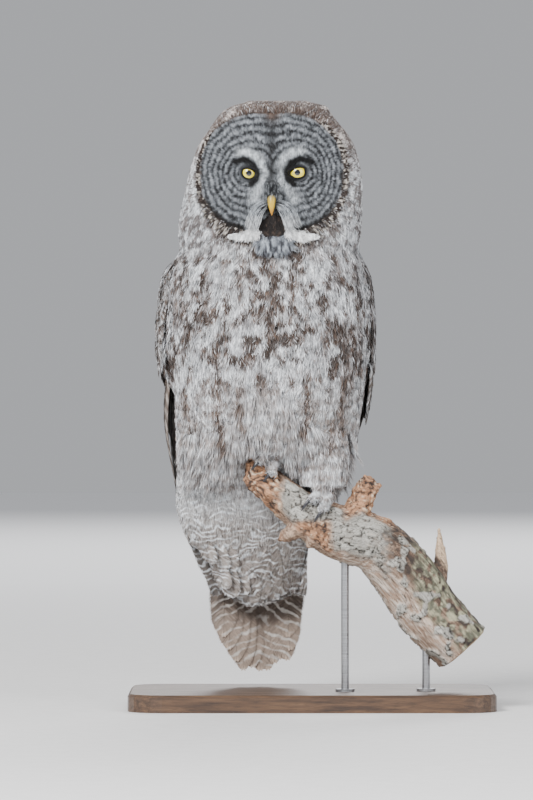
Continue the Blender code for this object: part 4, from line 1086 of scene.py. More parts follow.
def unwrap(places):
    """A place's own spot on the unwrapped skin."""
    x, y, z = places[..., 0] - HEAD_MIDDLE_X, places[..., 1], places[..., 2]
    u = 0.5 + np.arctan2(x, -y) / (2 * np.pi) * 0.98
    high = np.degrees(np.arctan2(z - 560, np.hypot(x, y)))
    v = np.where(z < 560, 0.02 + 0.56 * (z - 120) / 440, 0.58 + 0.4 * high / 90)
    return np.stack([u, np.clip(v, 0.01, 0.99)], -1)


def repeated(faces, times, step):
    """The faces of many like forms, whose points follow each other step by step."""
    return (faces[None] + (np.arange(times) * step)[:, None, None]).reshape(-1, 3)


def lay_out(piece, spots, faces):
    """Writes each point's spot on the unwrapped skin into the mesh."""
    layer = piece.data.uv_layers.new(name="OFBake")
    layer.data.foreach_set("uv", spots.reshape(-1, 2)[faces.ravel()].ravel().astype(np.float32))


def grown(name, blades, colours, roots, side, finish, slot, order=None):
    """Mesh pieces made of every strand, each carrying its colours and its spot on the skin."""
    number, count = blades.shape[:2]
    over = side[..., None] * 0.35 + np.array((-0.05, 0.05, -0.05, 0.05, -0.05, 0.05, 0))
    above = STRAND_STEPS[list(STRAND_ROWS)] - 0.5
    spots = unwrap(roots)[:, None, None] + PATCH_SIZE * np.stack(np.broadcast_arrays(over, above), -1)
    colours = colours[:, :, STRAND_ROWS]
    order = np.argsort(turn_of(roots) if order is None else order)
    pieces = int(np.ceil(number * count / MOST_STRANDS))
    for k, part in enumerate(np.array_split(order, pieces), 1):
        points = blades[part].reshape(-1, 3)
        faces = repeated(STRAND_FACES, len(part) * count, 7)
        piece = new_piece(name if pieces == 1 else f"{name}_{k}", points, faces)
        paint(piece, np.clip(colours[part].reshape(-1, 3), 0, 1))
        lay_out(piece, spots[part], faces)
        settle(piece, finish, slot)


def root_shaded_strands(colours, chance, pale=0.05, root=0.5):
    """Painted shade darkening each strand towards its root, a little painted light at its tip, and each
    strand a little lighter or darker than the next.
    """
    number, count = colours.shape[:2]
    # Painted shade and light: root sets how dark each strand is painted at its root; its tip is painted a
    # little lighter.
    fade = root + (1 - root) * np.array((0.0, 0.62, 0.95, 1.08))
    own = 1 + chance.normal(0, 0.09, (number, count, 1, 1)) + chance.normal(0, 0.05, (number, 1, 1, 1))
    light = chance.random((number, count, 1)) < pale
    colours = np.where(light[..., None], colours * 0.45 + WHITE * 0.6, colours)
    return np.clip(colours * fade[:, None] * own, 0, 1)


SOFT_SHEEN = {"Roughness": 0.8, "Sheen_Weight": 0.12, "Sheen_Roughness": 0.5, "Specular_IOR_Level": 0.25}
feather = Finish("soft_feather", **SOFT_SHEEN)
grain = feather.noise(1400.0, 2.0)
flecks = feather.ramp(feather.noise(300.0, 2.0, stretch=(1, 1, 0.45)), (0.38, 0.62), (0.6, 1.06))
clouds = feather.ramp(feather.noise(120.0, 2.0, stretch=(1, 1, 0.6)), (0.38, 0.8), (0.6, 1.08))
shading = feather.mix(1.0, feather.ramp(grain, (0.3, 0.84), (0.7, 1.05)), flecks, "MULTIPLY")
shading = feather.mix(1.0, shading, clouds, "MULTIPLY")
feather.set("Base Color", feather.mix(1.0, feather.own("tint"), shading, "MULTIPLY"))
feather.worn(grain, 0.85, 0.65, 0.2, 0.0003)


def bare(points):
    """Places under the wings and inside the disc, which the coat's strands leave free."""
    turn = np.abs(turn_of(points))
    high = points[..., 2]
    winged = (turn > WING_EDGE - 14 * ease(high, 380, 430)) & (high < 512)
    faced = on_face(points) > 0.5
    return winged | faced


def tufts(name, places, paths, ways, count, width, spread, depth, chance, tint=coat_tint, whole=0.6,
          root=0.5, finish=feather, **more):
    """Tufts along paths. Each is coloured for the most part as one, paler along its edges and tip."""
    blades, middle, side = strands(paths, ways, count, width, spread, depth, chance, **more)
    tip = along(paths, np.full((len(paths), 1), 0.72))[:, :, None]
    anchor = middle * (1 - whole) + tip * whole
    shift = chance.normal(0, 1.6, (len(places), 1, 1)) + chance.normal(0, 0.8, side.shape)[..., None]
    colours = tint(anchor, shift)
    edge = np.clip(np.abs(side) - 0.45, 0, 1)[..., None] * 0.22 + 0.08 * (STRAND_STEPS > 0.9)
    colours = lerp(colours, WHITE, np.clip(edge, 0, 0.6))
    grown(name, blades, root_shaded_strands(colours, chance, root=root), places, side, finish, "plumage")


def coat(name, spacing, length, count, width, spread, depth, region, seed, stray=0.3, **more):
    """Tufts over every place in a region of the skin, each following the lie of the coat."""
    chance = np.random.default_rng(seed)
    places, normals = scatter(spacing, lambda p: region(p) * ~bare(p), seed)
    long = length * chance.uniform(0.8, 1.15, len(places))
    paths, ways = follow(places, normals, long, chance.normal(0, stray, len(places)))
    tufts(name, places, paths, ways, count, width, spread, depth, chance, **more)


def neck_line(p):
    """Where the head's small feathers give way to the body's."""
    return 530 + 11 * lumps(p, (13, 13, 40), 35)


coat(
    "coat_body", 4.1, 23.0, 12, 1.18, (2.4, 6.4), COAT_DEPTH * 0.8,
    lambda p: (p[..., 2] > 300) & (p[..., 2] < neck_line(p)), 31, rise=1.7,
)
coat(
    "coat_belly", 4.3, 25.0, 12, 1.12, (2.4, 5.6), COAT_DEPTH * 0.8,
    lambda p: (p[..., 2] > 254 + 0.25 * p[..., 1] + 9 * lumps(p, 16.0, 34)) & (p[..., 2] <= 300), 32,
    stray=0.18, root=0.8, whole=0.5,
)
coat(
    "coat_head", 3.3, 14.0, 9, 0.95, (1.4, 3.4), COAT_DEPTH * 0.7,
    lambda p: p[..., 2] >= neck_line(p), 33, rise=0.8, whole=0.35,
)

# Below the belly hang the loose grey-brown feathers of the vent, rooted in the skin like the
# rest of the coat. Fine wavy white lines cross them.
def wavy_lines(finish, pitch, slope, middle, bends, low, high):
    """White lines, one every pitch millimetres, that rise towards the middle and bend with noise."""
    over, _, rise = finish.add("SeparateXYZ", {}, finish.place((1000, 1000, 1000))).outputs
    away = finish.math("ABSOLUTE", finish.math("SUBTRACT", over, middle))
    rise = finish.math("MULTIPLY_ADD", away, slope, rise)
    for scale, reach in bends:
        rise = finish.math("MULTIPLY_ADD", finish.noise(scale, 1.0), reach, rise)
    cycle = finish.math("SINE", finish.math("MULTIPLY", rise, 2 * math.pi / pitch))
    return finish.ramp(finish.math("MULTIPLY_ADD", cycle, 0.5, 0.5), (low, 0.0), (high, 1.0))


lined = Finish("lined_feather", **SOFT_SHEEN)
grain = lined.noise(1400.0, 2.0)
lines = wavy_lines(lined, 7.4, 0.0, 0.0, ((30.0, 34.0), (85.0, 12.0), (240.0, 3.0)), 0.5, 0.92)
broken = lined.ramp(lined.noise(70.0, 2.0, stretch=(1, 1, 1.7)), (0.4, 0.08), (0.58, 0.95))
lines = lined.math("MULTIPLY", lines, broken)
ground = lined.tinted(grain, (0.3, 0.84), (0.7, 1.1))
lined.set("Base Color", lined.mix(lines, ground, srgb(234, 238, 242)))
lined.worn(grain, 0.85, 0.65, 0.2, 0.0003)
coat(
    "coat_undertail", 4.2, 19.0, 12, 1.18, (2.6, 5.6), COAT_DEPTH * 0.6,
    lambda p: (p[..., 2] <= 266 + 0.25 * p[..., 1] + 9 * lumps(p, 16.0, 34)) & (p[..., 2] > 113), 36,
    stray=0.12, whole=0.1, rise=0.8, finish=lined, tint=lambda p, s: coat_tint(p, s, 0.0),
)

# A skirt of longer, softer feathers, rooted in the belly's skin, hangs before the legs.
# It is nearly white, and its ragged hem hides the toes' roots.
# The hem's height at places across.
SKIRT_HEM = (
    (-110, 246), (-62, 242), (-40, 254), (-28, 282), (0, 288), (20, 284),
    (28, 262), (52, 248), (86, 236), (100, 256), (120, 276),
)
chance = np.random.default_rng(37)
number = 1050
turn = chance.uniform(-68, 70, number)
hem = np.interp(body_at(turn, 270.0)[:, 0] - AXIS_X, *np.array(SKIRT_HEM, float).T)
height = np.maximum(hem + 14 + 66 * chance.random(number), 252)
places = body_at(turn, height)
normals = unit(body_at(turn, height, 1.0) - places)
long = np.clip(height - hem - chance.normal(2, 4.0, number), 12, 32)
steps = np.linspace(0, 1, 5)[None, :, None]
sway = chance.normal(0, 0.16, number) + 0.05 * turn / 70
fall = np.stack([sway, -0.04 + 0 * turn, -np.ones_like(turn)], -1)
paths = places[:, None] + steps * (long[:, None] * fall)[:, None]
ways = np.broadcast_to(normals[:, None], paths.shape)
tufts(
    "coat_skirt", places, paths, ways, 11, 0.97, (2.2, 4.8), COAT_DEPTH * 0.75, chance,
    rise=1.1, root=0.8, whole=0.45,
)

# The toes, four to a foot, are feathered down to the claws. Short, dense, dirty white tufts
# root in the skin over each knuckle and lie on the wood.
def near_toes(points, reach=9.0):
    """True at places on the toes and pads."""
    near = np.zeros(points.shape[:-1], bool)
    for owner in FEET:
        for toe in TOES:
            for knuckle in toe_path(owner, toe, 4, toe[2], (7.0, 6.0), 7):
                near |= np.linalg.norm(points - knuckle, axis=-1) < reach
    return near


chance = np.random.default_rng(41)
places, normals = scatter(2.3, lambda p: near_toes(p, 7.6) * (p[..., 2] < 305), 41)
long = chance.uniform(11, 17, len(places))
paths, ways = follow(places, normals, long, chance.normal(0, 0.3, len(places)))
blades, middle, side = strands(paths, ways, 8, 0.8, (1.0, 2.4), 1.0, chance, rise=0.8)
colours = mottled(middle, 4.0, 42, (232, 234, 237), (160, 150, 144), -0.1, 0.6)
grown("coat_toes", blades, root_shaded_strands(colours, chance), places, side, feather, "plumage")

# Claws: long, curved hooks of blue-black horn, smooth and a little glossy. Each grows out of a
# toe's end and rests its point on the wood.
horn = Finish("black_horn", Roughness=0.3, Coat_Weight=0.3, Coat_Roughness=0.15)
layers = horn.noise(900.0, 3.0, stretch=(1, 1, 0.4))
horn.set("Base Color", horn.ramp(layers, (0.3, srgb(24, 25, 30)), (0.75, srgb(62, 62, 68))))
horn.worn(layers, 0.24, 0.42, 0.2, 0.0003)
for owner in FEET:
    for number, toe in enumerate(TOES, 1):
        path = toe_path(owner, toe, toe[2] - 10, toe[2] + 30, (6.4, 1.8), 24)
        taper = np.interp(np.linspace(0, 1, 24), (0, 0.25, 0.5, 0.75, 1), (2.4, 2.3, 1.9, 1.2, 0.3))
        name = f"claw_{owner}_{number}"
        talon = new_piece(name + "_horn", *round_tube(path, taper, 18))
        talon.data.shade_smooth()
        settle(talon, horn, "claw", name)

# Eyes: glass domes with a lemon iris and a small blue-black pupil, set behind dark bare lids.
# Each opening is an almond, flat above, with its inner corner drawn down towards the bill.
EYE_DOME = 11.5
PUPIL, IRIS = 3.3, 9.4
# How far each ring of the dome lies from its middle, close together at the edges of pupil and iris.
DOME_RINGS = (
    0.4, 1.2, 2.2, 2.8, 3.0, 3.2, 3.5, 4.2, 5.2, 6.2, 7.2, 8.2, 8.9, 9.3, 9.7, 10.3, 10.9, 11.3,
)
# Each ring of a lid: how far out from the opening, how far before dome or face, how much it
# follows the dome, and its grey.
LID_RINGS = (
    (-0.5, -0.9, 1.0, (8, 8, 9)),
    (0.0, 0.35, 1.0, (10, 10, 11)),
    (0.7, 0.95, 1.0, (12, 12, 13)),
    (1.5, 0.8, 0.55, (10, 10, 11)),
    (2.5, 0.5, 0.2, (10, 10, 12)),
    (4.0, -0.6, 0.0, (12, 12, 14)),
    (6.5, -2.6, 0.0, (16, 16, 18)),
)
LID_SIDES = 72
# Lid openings from the pupil's middle: outwards and up, in millimetres.
OPENINGS = {
    "right": (
        (7.4, 1.0), (6.6, 3.9), (4.4, 4.8), (1.6, 4.9), (-1.6, 4.3), (-4.8, 2.2),
        (-7.5, -1.0), (-5.2, -4.0), (-1.8, -6.0), (2.4, -5.7), (5.4, -3.9), (7.0, -1.6),
    ),
    "left": (
        (8.4, 1.0), (7.6, 4.4), (5.4, 5.5), (2.2, 5.6), (-1.4, 5.0), (-5.2, 2.6),
        (-8.6, -1.0), (-5.6, -4.2), (-1.6, -6.0), (3.4, -5.6), (6.8, -3.8), (8.2, -1.4),
    ),
}


def face_out(x, z):
    """The way out of the face there."""
    over = (face_depth(x + 1, z) - face_depth(x - 1, z)) / 2
    above = (face_depth(x, z + 1) - face_depth(x, z - 1)) / 2
    return unit(np.stack([over, -np.ones_like(over), above], -1))


def closed_curve(corners, count):
    """A smooth closed line through corners."""
    corners = np.asarray(corners, float)
    t = np.linspace(0, len(corners), count, endpoint=False)
    i = t.astype(int)
    f = (t - i)[:, None]
    a, b, c, d = (corners[(i + k) % len(corners)] for k in (-1, 0, 1, 2))
    return 0.5 * (2 * b + (c - a) * f + (2 * a - 5 * b + 4 * c - d) * f**2 + (3 * b - a - 3 * c + d) * f**3)


glass = Finish("eye_glass", Roughness=0.16, Coat_Weight=1.0, Coat_Roughness=0.03)
fibre = glass.noise(1600.0, 3.0)
glass.set("Base Color", glass.tinted(fibre, (0.3, 0.88), (0.7, 1.06)))
glass.worn(fibre, 0.12, 0.2, 0.03, 0.0002)
bare_lid = Finish("bare_lid_skin", Roughness=0.7, Specular_IOR_Level=0.2)
wrinkle = bare_lid.noise(1500.0, 3.0)
bare_lid.set("Base Color", bare_lid.tinted(wrinkle, (0.3, 0.8), (0.7, 1.3)))
bare_lid.worn(wrinkle, 0.8, 0.6, 0.4, 0.0003)

for owner, (eye_x, eye_z) in EYES.items():
    way = -1 if owner == "right" else 1
    front_y = float(face_depth(np.array(way * 28.0), np.array(1.5))) - 4.2
    middle = np.array((FACE_X + eye_x, front_y + EYE_DOME, FACE_Z + eye_z))
    reach = np.array(DOME_RINGS)[:, None]
    around = np.radians(np.arange(0, 360, 6))
    deep = -np.sqrt(EYE_DOME**2 - reach**2)
    rings = np.broadcast_arrays(reach * np.cos(around), deep, reach * np.sin(around))
    rings = np.stack(rings, -1)
    back = rings[-1][None] * (1, 0, 1) * np.array((0.98, 0.7))[:, None, None] + np.array((0, 3.0, 0))
    points, faces = shell(np.concatenate([rings, back]) + middle)
    ball = new_piece(f"eye_{owner}_glass", points, faces)
    ball.data.shade_smooth()
    far = np.hypot(points[:, 0] - middle[0], points[:, 2] - middle[2])
    angle = np.arctan2(points[:, 2] - middle[2], points[:, 0] - middle[0])
    spoke = lumps(np.stack([angle * 9, far / 4, far * 0], -1), 1.0, 43)
    iris = lerp(srgb(236, 216, 52), srgb(214, 186, 40), ease(far + 0.8 * spoke, 6.5, 9.0))
    iris = lerp(srgb(216, 188, 44), iris, ease(far, PUPIL, PUPIL + 1.0))
    tone = lerp(srgb(13, 18, 28), iris, ease(far, PUPIL - 0.1, PUPIL + 0.15))
    tone = lerp(tone, srgb(14, 13, 12), ease(far, IRIS - 0.4, IRIS + 0.2))
    tone[points[:, 1] > middle[1] - 1] = srgb(14, 13, 12)
    paint(ball, tone)
    settle(ball, glass, "eye", f"eye_{owner}")

    edge = closed_curve(OPENINGS[owner], LID_SIDES) * (way, 1)
    away = unit(edge - edge.mean(0))
    rings, shades = [], []
    upper = ease(edge[:, 1], 0.5, 4.0)
    for out, proud, on_dome, shade in LID_RINGS:
        spot = edge + away * out * (1.0, 0.85)
        away_out = np.hypot(*spot.T)
        far = np.minimum(away_out, EYE_DOME - 0.6)
        dome = middle[1] - np.sqrt(EYE_DOME**2 - far**2) - proud - 0.7 * upper * (out >= 0)
        level = face_depth(eye_x + spot[:, 0], eye_z + spot[:, 1]) - proud - 1.2 * upper * (0 < out < 4)
        y = dome * on_dome + level * (1 - on_dome)
        y = np.where(away_out < EYE_DOME - 0.6, np.minimum(y, dome + 0.75 * proud - 0.3), y)
        rings.append(np.stack([middle[0] + spot[:, 0], y, middle[2] + spot[:, 1]], -1))
        outer = ease(edge[:, 0] * way, -2, 5) * (1 - 0.6 * upper) * float(ease(np.array(out), 1.0, 4.0))
        shades.append(lerp(np.broadcast_to(srgb(*shade), (LID_SIDES, 3)), srgb(84, 86, 90), outer))
    rings = np.array(rings)
    i, j = np.meshgrid(np.arange(len(rings) - 1), np.arange(LID_SIDES), indexing="ij")
    i, k = i * LID_SIDES, (j + 1) % LID_SIDES
    faces = np.stack([i + j, i + LID_SIDES + j, i + LID_SIDES + k, i + k], -1).reshape(-1, 4)
    lid = new_piece(f"lids_{owner}", rings.reshape(-1, 3), faces if way > 0 else faces[:, ::-1])
    lid.data.shade_smooth()
    paint(lid, np.concatenate(shades))
    settle(lid, bare_lid, "face")

# Bill: a narrow hook of yellow horn that curves straight down over the lower half,
# greyer at its base, with a warm tip. It shows only below the bristles.
# Each row is a place on its middle line, depth and height from the face's middle, and a radius.
BILL = {
    "upper": (
        (0, -82, -20, 5.2), (0, -94, -22, 5.2), (0, -101, -28, 4.8),
        (0, -104, -36, 3.7), (0, -104, -43, 2.1), (0, -102, -48.5, 0.4),
    ),
    "lower": ((0, -82, -34, 4.0), (0, -92, -37, 3.8), (0, -97, -40, 3.0), (0, -99, -44, 0.6)),
}
keratin = Finish("yellow_horn", Roughness=0.45, Coat_Weight=0.08, Coat_Roughness=0.25)
streaks = keratin.noise(1.6, 3.0, stretch=(900, 300, 120))
keratin.set("Base Color", keratin.tinted(streaks, (0.3, 0.84), (0.7, 1.08)))
keratin.worn(streaks, 0.3, 0.48, 0.15, 0.0003)
for half, rows in BILL.items():
    fine = smooth_run(rows, 48)
    ridge = 0.16 if half == "upper" else 0.0
    points, faces = round_tube(
        fine[:, :3] + (FACE_X, 0, FACE_Z),
        fine[:, 3],
        36,
        lambda t, a: (1 + ridge * np.clip(-np.cos(a), 0, 1) ** 6 - 0.06 * np.sin(a) ** 4) * (1 + 0 * t),
    )
    horn_piece = new_piece(f"bill_{half}_horn", points, faces)
    horn_piece.data.shade_smooth()
    low = -(points[:, 2] - FACE_Z)
    tone = lerp(srgb(98, 94, 68), srgb(196, 162, 40), ease(low, 24, 34))
    tone = lerp(tone, srgb(188, 130, 32), ease(low, 38, 46))
    side_on = ease(np.abs(points[:, 0] - FACE_X), 2.2, 5.0)
    tone = lerp(tone, srgb(104, 98, 68), side_on * 0.6 * fade(low, 34, 42))
    paint(horn_piece, tone)
    settle(horn_piece, keratin, "bill", f"bill_{half}")

# The facial disc: thousands of fine stiff feathers that run out from each eye to the rim.
# They lie almost flat and carry the dark and pale rings.
def face_way(x, z):
    """The way that the disc's feathers run: out from the eyes, down beside the bill."""
    way_x, way_z = 0.0, 0.0
    for eye_x, eye_z in EYES.values():
        dx, dz = x - eye_x, z - eye_z
        away = np.maximum(np.hypot(dx, dz), 2.0) ** 3
        way_x, way_z = way_x + dx / away, way_z + dz / away
    long = np.maximum(np.hypot(way_x, way_z), 1e-9)
    return way_x / long, way_z / long


def face_paths(x, z, lengths, stray, steps=4):
    paths, ways = [], []
    for _ in range(steps + 1):
        paths.append(np.stack([FACE_X + x, face_depth(x, z), FACE_Z + z], -1))
        ways.append(face_out(x, z))
        way_x, way_z = face_way(x, z)
        way_x, way_z = way_x - stray * way_z, way_z + stray * way_x
        x, z = x + way_x * lengths / steps, z + way_z * lengths / steps
    return np.stack(paths, 1), np.stack(ways, 1)


chance = np.random.default_rng(51)
SPACING = 1.42
x, z = np.meshgrid(np.arange(-88, 88, SPACING), np.arange(-74, 76, SPACING))
x = (x + chance.uniform(-0.6, 0.6, x.shape) * SPACING).ravel()
z = (z + chance.uniform(-0.6, 0.6, z.shape) * SPACING).ravel()
inside = rim_radius(np.arctan2(z, x)) - np.hypot(x, z)
keep = inside > 1.0
for owner, (eye_x, eye_z) in EYES.items():
    way = -1 if owner == "right" else 1
    keep &= ((x - eye_x - 0.3 * way) / (9.4 if way > 0 else 8.4)) ** 2 + ((z - eye_z + 0.4) / 6.9) ** 2 > 1
keep &= ~((np.abs(x) < 5.0) & (z < -21) & (z > -50))
x, z, inside = x[keep], z[keep], inside[keep]
from_eye = np.minimum(*(np.hypot(x - ex, z - ez) for ex, ez in EYES.values()))
lengths = np.minimum(chance.uniform(4.2, 6.4, len(x)) + 0.05 * from_eye, inside + 2.0)
paths, ways = face_paths(x, z, lengths, chance.normal(0, 0.2, len(x)))
blades, middle, side = strands(paths, ways, 4, 0.62, (0.5, 1.1), 1.6, chance, rise=0.55, roll=0.5)
stray = chance.normal(0, 0.55, side.shape)[..., None]
colours = root_shaded_strands(face_tint(middle, stray), chance, pale=0.0, root=0.6)
grown("disc", blades, colours, paths[:, 0], side, feather, "face", order=x)


# Beside and over the bill stand fine bristles that sweep out and down, grey lined with black,
# and turn white where they end in the moustache. Under them the chin is dark, with a grey beard.
def on_front(x, z, proud):
    """Points on the face and just below it, standing proud of it by some millimetres."""
    y = face_depth(x, z)
    for spot in np.argwhere(rim_radius(np.arctan2(z, x)) < np.hypot(x, z) + 1):
        place = tuple(spot)
        hit = surface.ray_cast((FACE_X + x[place], -300.0, FACE_Z + z[place]), (0.0, 1.0, 0.0))[0]
        y[place] = hit[1] if hit else y[place]
    return np.stack(np.broadcast_arrays(FACE_X + x, y - proud, FACE_Z + z), -1)


def swept(name, x, z, angle, turn, long, proud, count, width, spread, colour, chance):
    """Tufts that start at (x, z), run at an angle from straight down, and turn as they go."""
    steps = np.linspace(0, 1, 5)[None]
    heading = angle[:, None] + turn[:, None] * steps
    step = long[:, None] * np.diff(steps, axis=1, prepend=0)
    path_x = x[:, None] + np.cumsum(np.sin(heading) * step, 1)
    path_z = z[:, None] - np.cumsum(np.cos(heading) * step, 1)
    height = proud[0] + (proud[1] - proud[0]) * np.sin(np.pi * 0.5 * steps)
    height = height + proud[2] * np.sin(np.pi * steps)
    paths = on_front(path_x, path_z, height)
    ways = np.broadcast_to(face_out(path_x, path_z), paths.shape)
    blades, middle, side = strands(paths, ways, count, width, spread, 0.8, chance, rise=0.8, roll=0.5)
    colours = root_shaded_strands(colour(middle), chance, pale=0.0, root=0.8)
    grown(name, blades, colours, paths[:, 0], side, feather, "face", order=x)


def moustache_tint(points):
    return mottled(points, (2, 2, 3), 401, (250, 251, 252), (190, 188, 186), 0.4, 1.0)


def chin_tint(points):
    return mottled(points, (2, 2, 4), 402, (38, 33, 32), (82, 68, 60), 0.0, 0.9)


def beard_tint(points):
    return mottled(points, (2.5, 2.5, 7), 403, (164, 171, 180), (56, 56, 62), -0.3, 0.5)


def brow_tint(points):
    """Dark over the bill's ridge and greyer beside it."""
    beside = lumps(points, (1.5, 1.5, 4), 404) + 0.08 * np.abs(points[..., 0] - FACE_X) - 0.2
    return lerp(srgb(34, 35, 38), srgb(132, 136, 140), ease(beside, -0.2, 0.6))


chance = np.random.default_rng(71)
number = 360
down_chin = chance.random(number) ** 0.7
x = 2 + (5 + 18 * down_chin) * chance.uniform(-1, 1, number)
z = -46 - 22 * down_chin - 0.006 * (x - 2) ** 2
angle = chance.normal(0, 0.25, number) + 0.02 * x
long = chance.uniform(8, 13, number)
swept("chin", x, z, angle, np.zeros(number), long, (0.5, 2.0, 1.5), 7, 0.8, (1.0, 2.6), chin_tint, chance)
number = 330
x = 3 + 15 * np.clip(chance.normal(0, 0.5, number), -1.15, 1.15)
z = chance.uniform(-84, -70, number)
angle = chance.normal(0, 0.3, number) + 0.014 * (x - 3)
long = chance.uniform(6, 19, number)
swept("beard", x, z, angle, np.zeros(number), long, (2.0, 3.0, 2.0), 9, 0.7, (1.6, 3.6), beard_tint, chance)
for owner, way, far in (("right", -1, 33.0), ("left", 1, 36.0)):
    number = 420
    share = chance.random(number)
    x = way * (14 + far * share) + chance.normal(0, 1.0, number) + (2 if way > 0 else 0)
    thick = np.interp(share, (0, 0.35, 0.75, 1), (4.5, 3.6, 1.8, 0.6))
    z = np.interp(share, (0, 0.3, 0.6, 1), (-63, -67, -70, -71)) + thick * chance.uniform(-1, 1, number)
    angle = way * (0.2 + 0.5 * share + chance.normal(0, 0.25, number))
    turn = way * np.full(number, 0.35)
    long = chance.uniform(0.5, 1.25, number) * np.interp(share, (0, 0.5, 1), (13, 9, 4))
    swept(
        f"moustache_{owner}", x, z, angle, turn, long, (1.0, 3.0, 2.0), 7, 0.7, (0.8, 2.0),
        moustache_tint, chance,
    )

# Bristles beside the bill: stiff hair-like feathers, grey and black, that sweep out and down in
# a curtain on each side, from a first path over the gape to a last one by the bill.
SWEEPS = {
    "right": (
        ((-4, -31), (-13.5, -33), (-22, -39), (-27, -49), (-30, -59), (-34, -66)),
        ((-5, -41), (-9.2, -44), (-12.1, -51), (-14, -58), (-17, -66), (-20, -72)),
    ),
    "left": (
        ((4, -31), (15.3, -33), (24.5, -39), (30, -49), (33, -58), (38, -66)),
        ((5, -41), (9.5, -45), (12.4, -52), (15, -60), (18, -67), (22, -73)),
    ),
}
for owner, (outer, inner) in SWEEPS.items():
    number = 340
    share = chance.random(number)[:, None, None]
    outer, inner = smooth_run(outer, 7), smooth_run(inner, 7)
    path = outer * (1 - share) + inner * share
    begin = chance.uniform(0, 0.35, number)[:, None]
    finish_at = np.minimum(begin + chance.uniform(0.45, 0.7, number)[:, None], 1)
    where = begin + (finish_at - begin) * np.linspace(0, 1, 6)
    path = along(np.broadcast_to(path, (number, 7, 2)), where)
    bulge = 4.0 + 5.5 * np.sin(np.pi * np.clip(where * 0.9 + 0.05, 0, 1))
    bulge = bulge + chance.uniform(-1.5, 1.5, number)[:, None]
    paths = on_front(path[..., 0], path[..., 1], bulge)
    ways = np.broadcast_to(face_out(path[..., 0], path[..., 1]), paths.shape)
    blades, middle, side = strands(
        paths, ways, 4, 0.62, (0.5, 1.3), 0.6, chance, short=0.7, rise=0.9, roll=0.5
    )
    dark = (chance.random((number, 4, 1)) < 0.34) * np.ones(4)
    down_path = ease(-(middle[..., 2] - FACE_Z), 44, 62)
    colours = lerp(srgb(168, 174, 180), srgb(52, 52, 56), dark)
    colours = lerp(colours, srgb(236, 239, 242), down_path * (1 - 0.55 * dark))
    colours = root_shaded_strands(colours, chance, 0.0, 0.75)
    grown(f"bristles_{owner}", blades, colours, paths[:, 0], side, feather, "face", order=share.ravel())

# Short bristles of the same kind run down from between the eyes and lie over the bill's root.
# They are dark in the middle and grey beside it.
number = 240
x = chance.uniform(-8.5, 8.5, number)
z = chance.uniform(-25, -9, number)
angle = 0.03 * x + chance.normal(0, 0.12, number)
long = chance.uniform(8, 12, number) * (1 - 0.2 * np.exp(-((x / 3) ** 2)))
swept(
    "bristles_brow", x, z, angle, 0.02 * x, long, (1.5, 10.0, 3.0), 5, 0.6, (0.5, 1.2), brow_tint, chance
)

# The ruff: short, stiff, closely set feathers round the disc's edge, specked black and cream.
# They root in the skin just inside the rim and curl back from it.
RUFF_STEPS = np.linspace(0, 1, 5)
number = 1500
angle = np.radians(chance.uniform(-212, 46, number))
short = (0.05 + 0.035 * chance.random((number, 1))) * (1 - 0.45 * np.maximum(-np.sin(angle), 0))[:, None]
steps = 0.972 + chance.uniform(-0.012, 0.045, number)[:, None] + short * RUFF_STEPS
paths = head_at(steps, angle[:, None] + chance.normal(0, 0.02, number)[:, None] * RUFF_STEPS)
ahead = unit(np.gradient(paths, axis=1))
beside = head_at(steps, angle[:, None] + 0.02) - paths
ways = unit(np.cross(ahead, beside))
ways *= np.where(dot(ways, paths - (HEAD_MIDDLE_X, 20, FACE_Z)) < 0, -1, 1)[..., None]
blades, middle, side = strands(paths + ways * 0.9, ways, 4, 0.62, (0.5, 1.2), 1.8, chance, rise=0.7)
speck = lumps(middle, 2.3, 411) + 0.4 * lumps(middle, 1.2, 412)
colours = lerp(srgb(212, 204, 194), srgb(50, 39, 34), ease(speck, -0.42, -0.16))
low = ease(-np.sin(angle), 0.1, 0.6)[:, None, None]
colours = lerp(colours, srgb(40, 32, 29), low * ease(1 - STRAND_STEPS, 0.35, 0.8) * 0.9)
away = ease(STRAND_STEPS, 0.75, 1.0) * 0.15
colours = lerp(colours, coat_tint(middle), away)
colours = root_shaded_strands(colours, chance, 0.04, 0.7)
grown("ruff", blades, colours, paths[:, 0], side, feather, "plumage", order=angle)

# Vaned feathers. Each is a shaft with a row of flat barbs on either side, over a thin backing,
# laid like slates: coverts are soft with loose ends, wing and tail feathers are stiff and even.
# How wide a feather is at shares of its length.
SOFT_OUTLINE = ((0, 0.5), (0.18, 0.85), (0.5, 1.0), (0.78, 0.94), (0.92, 0.66), (1, 0.25))
STIFF_OUTLINE = ((0, 0.4), (0.3, 0.92), (0.62, 1.0), (0.85, 0.86), (0.95, 0.55), (1, 0.12))
BARB_STEP = 1.05
BACKING_ROWS = 15
# Over the wings the back runs on straight, this far behind the owl's axis.
LONG_BACK = 90.0


